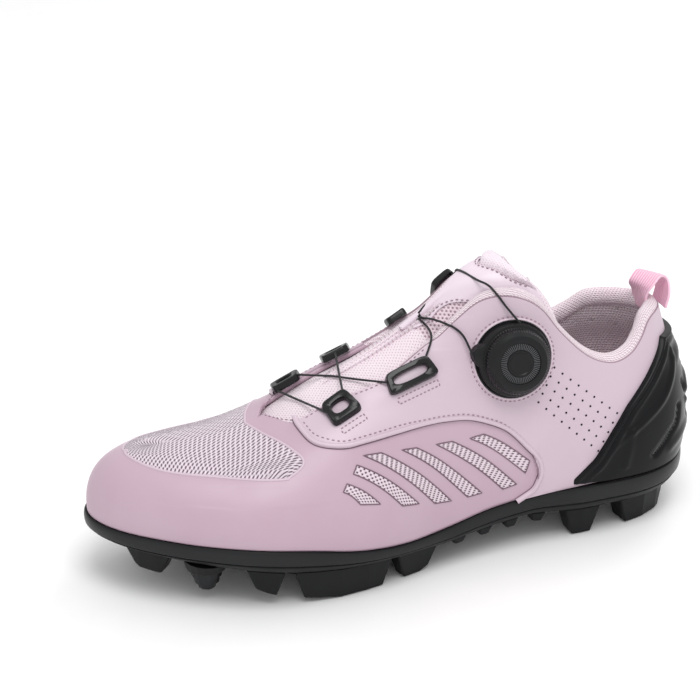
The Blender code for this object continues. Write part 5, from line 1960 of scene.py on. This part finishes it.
def make_counter():
    alongs = COUNTER_FRONT * (1 - np.cos(np.linspace(0.0, math.pi / 2, 76)))
    outer = turn_of(alongs)
    turns = np.concatenate([TURN - outer[:0:-1], outer])
    both = np.concatenate([alongs[:0:-1], alongs])
    rows = np.array(COUNTER)
    high = np.interp(both, rows[:, 0], rows[:, 1])
    share = np.linspace(0.0, 1.0, 72)[None]
    ups = COUNTER_START + (high - COUNTER_START)[:, None] * share
    base = wall(turns[:, None], ups, PANEL_FACE_OUT)
    edge = wall(turns, high, PANEL_FACE_OUT)
    gap = gap_to(base, edge)
    out = COUNTER_WALL / MM * (0.30 + 0.45 * smooth(0.0, 0.8, gap) + 0.25 * smooth(6.0, 14.0, gap))
    for at, width, height in EDGE_BEADS:
        out = out + height * bump(gap - at, width)
    inner = smooth(3.0, 7.0, gap)
    for places, width, height in COUNTER_FORMS + COUNTER_WINDOWS:
        for side in (1, -1):
            out = out + height * inner * bump(reach_from(base, places, side), width)
    outline = np.zeros_like(out)
    outline[:, -1] = 1.0
    outline[0, :] = 1.0
    outline[-1, :] = 1.0
    out = np.where(outline > 0, OUTLINE_SINK, np.maximum(out, LEAST_OUT)) * MM
    out = out * (COUNTER_THIN + (1.0 - COUNTER_THIN) * smooth(COUNTER_FRONT, THIN_FROM, both))[:, None]
    points = wall(turns[:, None], ups, PANEL_FACE_OUT + out)
    bm = flip(sheet("heel_counter_shell", points, metre_uv(points)))
    bm.normal_update()
    centres = np.array([face.calc_center_median() for face in bm.faces])
    shiny = np.full(len(centres), 1e3)
    for places, width, _ in COUNTER_WINDOWS:
        for side in (1, -1):
            shiny = np.minimum(shiny, reach_from(centres, places, side) / width)
    for face, far in zip(bm.faces, shiny):
        face.material_index = int(far < GLOSS_SHARE)
    return piece("heel_counter_shell", bm, [shell_black, gloss_black], "heel_counter", 50.0)


make_counter()

# %% [markdown]
# ## Sole
# The rubber sole is moulded in one piece. Its side has a smooth band above a groove and tucks in below it.
# One profile serves all round, and a table says how far it reaches out and tucks in along the foot. The
# pocket for the cleat plate lies on a slope of its own, between two points of the sole's base.

# %% Sole
SOLE_COLUMNS = "along base lip tuck"
SOLE = (
    (0.00, 0.440, 0.95, 1.2),
    (0.10, 0.440, 0.95, 1.2),
    (0.22, 0.460, 0.80, 1.0),
    (0.30, 0.510, 0.25, 0.9),
    (0.38, 0.460, 0.20, 0.9),
    (0.46, 0.380, 0.20, 0.9),
    (0.54, 0.430, 0.20, 0.9),
    (0.65, 0.500, 0.20, 0.9),
    (0.72, 0.555, 0.20, 0.9),
    (0.78, 0.610, 0.20, 1.0),
    (0.86, 0.670, 0.20, 1.3),
    (0.93, 0.710, 0.20, 1.7),
    (1.00, 0.760, 0.20, 1.9),
)
WELT_LIP = 0.0040
SOLE_TUCK = 0.0045
SIDE_STEP = 0.0009
RIM_INSET = 0.0036
MID_INSET = 0.0140
SOLE_ANGLE = 28.0
POCKET_LENGTH = 0.082
POCKET_WIDTH = 0.047
POCKET_DEPTH = 0.0024
POCKET_ALONG = 0.612
# shares of the lip, of the step and of the tuck, then the share of the side's height
SIDE_PROFILE = (
    (1.0, -0.50, 0.0, 0.00),
    (1.0, 0.20, 0.0, 0.03),
    (1.0, 0.60, 0.0, 0.10),
    (1.0, 0.75, 0.0, 0.24),
    (1.0, 0.65, 0.0, 0.42),
    (1.0, 0.40, 0.0, 0.53),
    (1.0, -0.10, 0.0, 0.57),
    (1.0, -1.10, 0.0, 0.60),
    (1.0, -1.25, 0.0, 0.63),
    (1.0, -0.90, 0.0, 0.67),
    (1.0, -0.70, 0.12, 0.74),
    (1.0, -0.20, 0.45, 0.88),
    (1.0, 0.0, 0.80, 0.96),
    (1.0, 0.0, 1.0, 1.00),
)
TOP_DROP = 0.0003
BAND_FOOT = 0.58
SPINE_SHARES = (0.0, 0.4, 0.7, 1.0)
BASE_INSETS = (0.0085, 0.0110, MID_INSET)


def sole_line(name, along):
    return table_curve(SOLE, SOLE_COLUMNS, name, along)


def base_height(x):
    rows = np.array(SOLE)
    return np.interp((HEEL_X - x) / LAST_LENGTH, rows[:, 0], rows[:, 1]) * WELT_HEIGHT


def pocket_frame():
    half = 0.5 * POCKET_LENGTH
    x = HEEL_X - POCKET_ALONG * LAST_LENGTH
    front = Vector((x - half, 0.0, float(base_height(x - half))))
    back = Vector((x + half, 0.0, float(base_height(x + half))))
    along = (back - front).normalized()
    down = Vector((along.z, 0.0, -along.x))
    middle = (front + back) * 0.5
    middle.y = float(centre_y(POCKET_ALONG))
    return Matrix.Translation(middle) @ Matrix((along, down.cross(along), down)).transposed().to_4x4()


POCKET = pocket_frame()
print("pocket's middle", [round(value, 4) for value in POCKET.translation])

# %% [markdown]
# ## The sole's body
# The grid starts on the foot's middle line, runs over the bed to the rim, down the side's profile and back
# under the base to the middle line, so the body is closed. Faces of the side above the groove take the smooth
# band's finish.

# %% The sole's body


def ring_at(turns, inset, height):
    """A ring set in from the welt line, at a height for each place along the foot."""
    point = plan(turns, inset + 0 * turns)
    point[:, 2] = height(point[:, 0])
    return point


def spine_ring(turns, share, height):
    """A ring part of the way from the foot's middle line to the inner ring."""
    point = spine(turns) * (1 - share) + plan(turns, MID_INSET + 0 * turns) * share
    point[:, 2] = height(point[:, 0])
    return point


def make_sole_body():
    turns = np.append(np.linspace(0.0, TURN, 261)[:-1], TURN)
    along = along_of(turns)
    lip_ = sole_line("lip", along) * WELT_LIP
    tuck = sole_line("tuck", along) * SOLE_TUCK
    top, way = foot(turns), outward(turns)
    foot_line = top + way * (lip_ - tuck)[:, None]
    low = base_height(foot_line[:, 0])
    side = top[:, 2] - low
    rows = [spine_ring(turns, share, bed_height) for share in SPINE_SHARES]
    rows += [ring_at(turns, inset, bed_height) for inset in (0.009, RIM_INSET)]
    for lips, steps, tucks, height in SIDE_PROFILE:
        point = top + way * (lips * lip_ + steps * SIDE_STEP - tucks * tuck)[:, None]
        point[:, 2] = top[:, 2] - TOP_DROP - height * (side - TOP_DROP)
        rows.append(point)
    rows += [ring_at(turns, inset, base_height) for inset in BASE_INSETS]
    rows += [spine_ring(turns, share, base_height) for share in SPINE_SHARES[2::-1]]
    grid = np.stack(rows, 1)
    bm = sheet("sole_body", grid, metre_uv(grid))
    face_outwards(bm)
    for face in bm.faces:
        spot = face.calc_center_median()
        if abs(face.normal.z) < 0.75:
            at = (HEEL_X - spot.x) / LAST_LENGTH
            welt = float(last("welt", at)) * WELT_HEIGHT
            base = float(base_height(spot.x))
            face.material_index = int(spot.z > welt - BAND_FOOT * (welt - base))
    return piece("sole_body", bm, [rubber_look, side_look], "sole_plate", SOLE_ANGLE)


sole = make_sole_body()

# %% [markdown]
# ## The cleat pocket
# A mould core would leave the pocket, and here a Boolean cuts it with a rounded block. The cut mesh becomes
# the sole's own mesh, and the block is removed.

# %% The cleat pocket
POCKET_ROOM = 0.0003
POCKET_CORNER = 0.8


def cut_pocket(obj):
    turns = np.linspace(0.0, TURN, 97)
    half_long, half_wide = 0.5 * POCKET_LENGTH + POCKET_ROOM, 0.5 * POCKET_WIDTH + POCKET_ROOM
    x, y = superellipse(half_long, half_wide, POCKET_CORNER, turns)
    rings = [(0.0, -POCKET_DEPTH), (1.0, -POCKET_DEPTH), (1.0, POCKET_DEPTH), (0.0, POCKET_DEPTH)]
    grid = np.array([[POCKET @ Vector((a * r, b * r, z)) for r, z in rings] for a, b in zip(x, y)])
    cutter = sheet("pocket", grid, metre_uv(grid))
    face_outwards(cutter)
    mesh = bpy.data.meshes.new("pocket")
    cutter.to_mesh(mesh)
    cutter.free()
    core = bpy.data.objects.new("pocket_core", mesh)
    bpy.context.scene.collection.objects.link(core)
    cut = obj.modifiers.new("pocket", "BOOLEAN")
    cut.object = core
    cut.solver = "EXACT"
    graph = bpy.context.evaluated_depsgraph_get()
    carved = bpy.data.meshes.new_from_object(obj.evaluated_get(graph))
    obj.modifiers.clear()
    obj.data = carved
    bpy.data.objects.remove(core)
    carved.set_sharp_from_angle(angle=math.radians(SOLE_ANGLE))


cut_pocket(sole)
print("sole", len(sole.data.polygons), "faces")

# %% [markdown]
# ## Grip dots
# The arch carries a patch of small raised dots that narrows towards its ends. Every second row is shifted
# by half a step, and a cosine says how wide the patch is at each place.

# %% Grip dots
GRIP_START, GRIP_END = 0.285, 0.49
GRIP_MIDDLE, GRIP_SPAN = 0.39, 0.11
GRIP_PITCH = 0.0075
GRIP_ROW = 0.0034


def make_grip():
    bm = bmesh.new()
    for row in range(-5, 6):
        for column in range(30):
            along = GRIP_START + column * GRIP_PITCH + (row % 2) * 0.5 * GRIP_PITCH
            across = row * GRIP_ROW
            reach = 0.55 + 0.45 * math.cos((along - GRIP_MIDDLE) / GRIP_SPAN * math.pi / 2)
            if abs(row) > 5.5 * reach or along > GRIP_END:
                continue
            x = HEEL_X - along * LAST_LENGTH
            y = float(centre_y(along)) + across
            place = Matrix.Translation((x, y, float(base_height(x)) - 0.0002))
            bmesh.ops.create_cone(
                bm, cap_ends=True, segments=8, radius1=0.0006, radius2=0.0009, depth=0.0010, matrix=place
            )
    return piece("arch_grip_dots", bm, [rubber_look])


make_grip()

# %% [markdown]
# ## Pull loop
# A folded ribbon stands up at the heel to pull the shoe on by. It is woven with lengthwise ribs, and it has
# taken a twist. Its path goes up outside the collar, over and down inside, and the twist grows with height.

# %% Pull loop
LOOP_WIDTH = 0.0125
LOOP_THICK = 0.0012
LOOP_FIT = 0.0018
LOOP_RISE = 0.0112
LOOP_TWIST = 34.0
LOOP_SPREAD = 0.0045
LOOP_ROWS = 25
LOOP_CURL = 9.0


def make_loop():
    heel = np.array(0.0)
    top = float(upper_edge(heel))
    outside = Vector(wall(heel, np.array(top - 0.05), 0.0030))
    crown = Vector(wall(heel, np.array(top)))
    inside = Vector(wall(heel, np.array(top - 0.03), -(COLLAR_PAD + LOOP_FIT)))
    path = [
        outside,
        Vector((outside.x + 0.0014, outside.y, crown.z + 0.0025)),
        Vector((crown.x + LOOP_SPREAD * 0.9, crown.y, crown.z + LOOP_RISE * 0.75)),
        Vector((crown.x - COLLAR_PAD * 0.5, crown.y, crown.z + LOOP_RISE)),
        Vector((inside.x - LOOP_SPREAD * 0.5, inside.y, crown.z + LOOP_RISE * 0.75)),
        Vector((inside.x - 0.0010, inside.y, crown.z + 0.0025)),
        inside,
    ]
    line = smooth_line(path, 8)
    run = np.concatenate([[0.0], np.cumsum(np.linalg.norm(np.diff(line, axis=0), axis=1))])
    grid = np.empty((len(line), LOOP_ROWS, 3))
    uv = np.empty((len(line), LOOP_ROWS, 2))
    middle = Vector((crown.x - COLLAR_PAD * 0.5, crown.y, 0.0))
    for column, point in enumerate(line):
        twist = math.radians(LOOP_TWIST) * float(smooth(crown.z + 0.001, crown.z + LOOP_RISE, point[2]))
        turn = Matrix.Rotation(twist, 3, "Z")
        for row in range(LOOP_ROWS):
            y = (row / (LOOP_ROWS - 1) - 0.5) * LOOP_WIDTH
            curve = -LOOP_CURL * y * y
            offset = Vector((point[0] + curve - middle.x, point[1] + y - middle.y, 0.0))
            placed = middle + turn @ offset
            grid[column, row] = (placed.x, placed.y, point[2])
            uv[column, row] = (run[column], y)
    bm = sheet("pull_ribbon", grid, uv)
    bm.normal_update()
    obj = piece("pull_ribbon", bm, [ribbon_look], "pull_loop", 60.0)
    thicken(obj, LOOP_THICK, 0.0)
    return round_edges(obj, 0.0003, 2, 60.0)


make_loop()

# %% [markdown]
# ## Finishes of the moulded solids
# The tread, the cleat plate and its bolts keep their solids, which already have their real shape. Every
# solid takes the finish of its slot, so that one shown again would still look right.

# %% Finishes of the moulded solids
BY_SLOT = {
    "sole_rubber": rubber_look,
    "black_plastic": plastic_look,
    "black_steel": steel_look,
    "dial_plastic": dial_look,
    "lace_cord": cord_look,
    "lining": lining_look,
    "satin_shell": shell_look,
    "quarter_panel": panel_look,
    "tongue_fabric": foam_look,
    "ribbon": ribbon_look,
}
slots = {entry["node"]: entry["material_slot"] for entry in frame["record"]["subparts"]}
for name, node in frame["nodes"].items():
    node.data.materials.clear()
    node.data.materials.append(BY_SLOT[slots[name]])
print("kept solids", sum(not node.hide_render for node in frame["nodes"].values()))

# %% [markdown]
# ## Floor and lamps
# The picture is lit softly. A pale floor and an even sky do most of it, with one broad lamp high on the
# toe's side and a weaker one behind, so that the gloss of the panels shows where the form turns.

# %% Floor and lamps


def pale_floor():
    look, tree, shader = new_look("paper_floor")
    place = tree.add("ShaderNodeTexCoord").outputs["Object"]
    tint = tree.range(tree.noise(place, 40.0, 2.0), 0.3, 0.7)
    tree.feed(shader, "Base Color", tree.mix(tint, (0.93, 0.93, 0.93, 1), (0.94, 0.94, 0.94, 1)))
    shader.inputs["Roughness"].default_value = 0.9
    shader.inputs["Specular IOR Level"].default_value = 0.1
    bm = bmesh.new()
    bmesh.ops.create_grid(bm, x_segments=4, y_segments=4, size=6.0)
    bmesh.ops.translate(bm, verts=bm.verts, vec=(0.0, 0.0, -0.0002))
    mesh = bpy.data.meshes.new("paper_floor")
    bm.to_mesh(mesh)
    bm.free()
    mesh.materials.append(look)
    obj = bpy.data.objects.new("paper_floor", mesh)
    bpy.context.scene.collection.objects.link(obj)


def lamp(name, place, aim, size, energy):
    data = bpy.data.lights.new(name, "AREA")
    data.size = size
    data.energy = energy
    obj = bpy.data.objects.new(name, data)
    obj.location = place
    obj.rotation_mode = "QUATERNION"
    obj.rotation_quaternion = (Vector(aim) - Vector(place)).to_track_quat("-Z", "Y")
    bpy.context.scene.collection.objects.link(obj)


pale_floor()
scene = bpy.context.scene
world = bpy.data.worlds.new("studio")
world.use_nodes = True
world.node_tree.nodes["Background"].inputs["Color"].default_value = (1.0, 1.0, 1.0, 1.0)
world.node_tree.nodes["Background"].inputs["Strength"].default_value = 0.80
scene.world = world
lamp("key", (-0.10, -0.55, 1.35), (0.0, 0.0, 0.04), 0.7, 9.0)
lamp("rim", (0.75, 0.55, 0.85), (0.02, 0.0, 0.06), 0.5, 3.0)
scene.view_settings.view_transform = "Standard"

# %% [markdown]
# ## Camera
# The camera stands where the picture was taken. Its place, its aim and its focal length come from a fit of
# known points of the shoe, such as the heel's back, the dial and the studs, to the picture.

# %% Camera
SENSOR = 36.0
FOCAL = 2172.0
PICTURE = 700.0
AIM = Vector((-0.0025, 0.0022, 0.05))
STAND_OFF = 0.950
PLACE_TURN, PLACE_RISE = math.radians(-22.2), math.radians(27.3)
LOOK_TURN, LOOK_RISE = math.radians(-20.93), math.radians(25.13)


def back_way(turn, rise):
    return Vector((math.sin(turn) * math.cos(rise), -math.cos(turn) * math.cos(rise), math.sin(rise)))


camera = bpy.data.objects.new("camera", bpy.data.cameras.new("camera"))
camera.data.lens = SENSOR * FOCAL / PICTURE
camera.data.sensor_width = SENSOR
camera.data.clip_start = 0.01
camera.location = AIM + back_way(PLACE_TURN, PLACE_RISE) * STAND_OFF
camera.rotation_mode = "QUATERNION"
camera.rotation_quaternion = (-back_way(LOOK_TURN, LOOK_RISE)).to_track_quat("-Z", "Y")
scene.collection.objects.link(camera)
scene.camera = camera

bpy.context.view_layer.update()
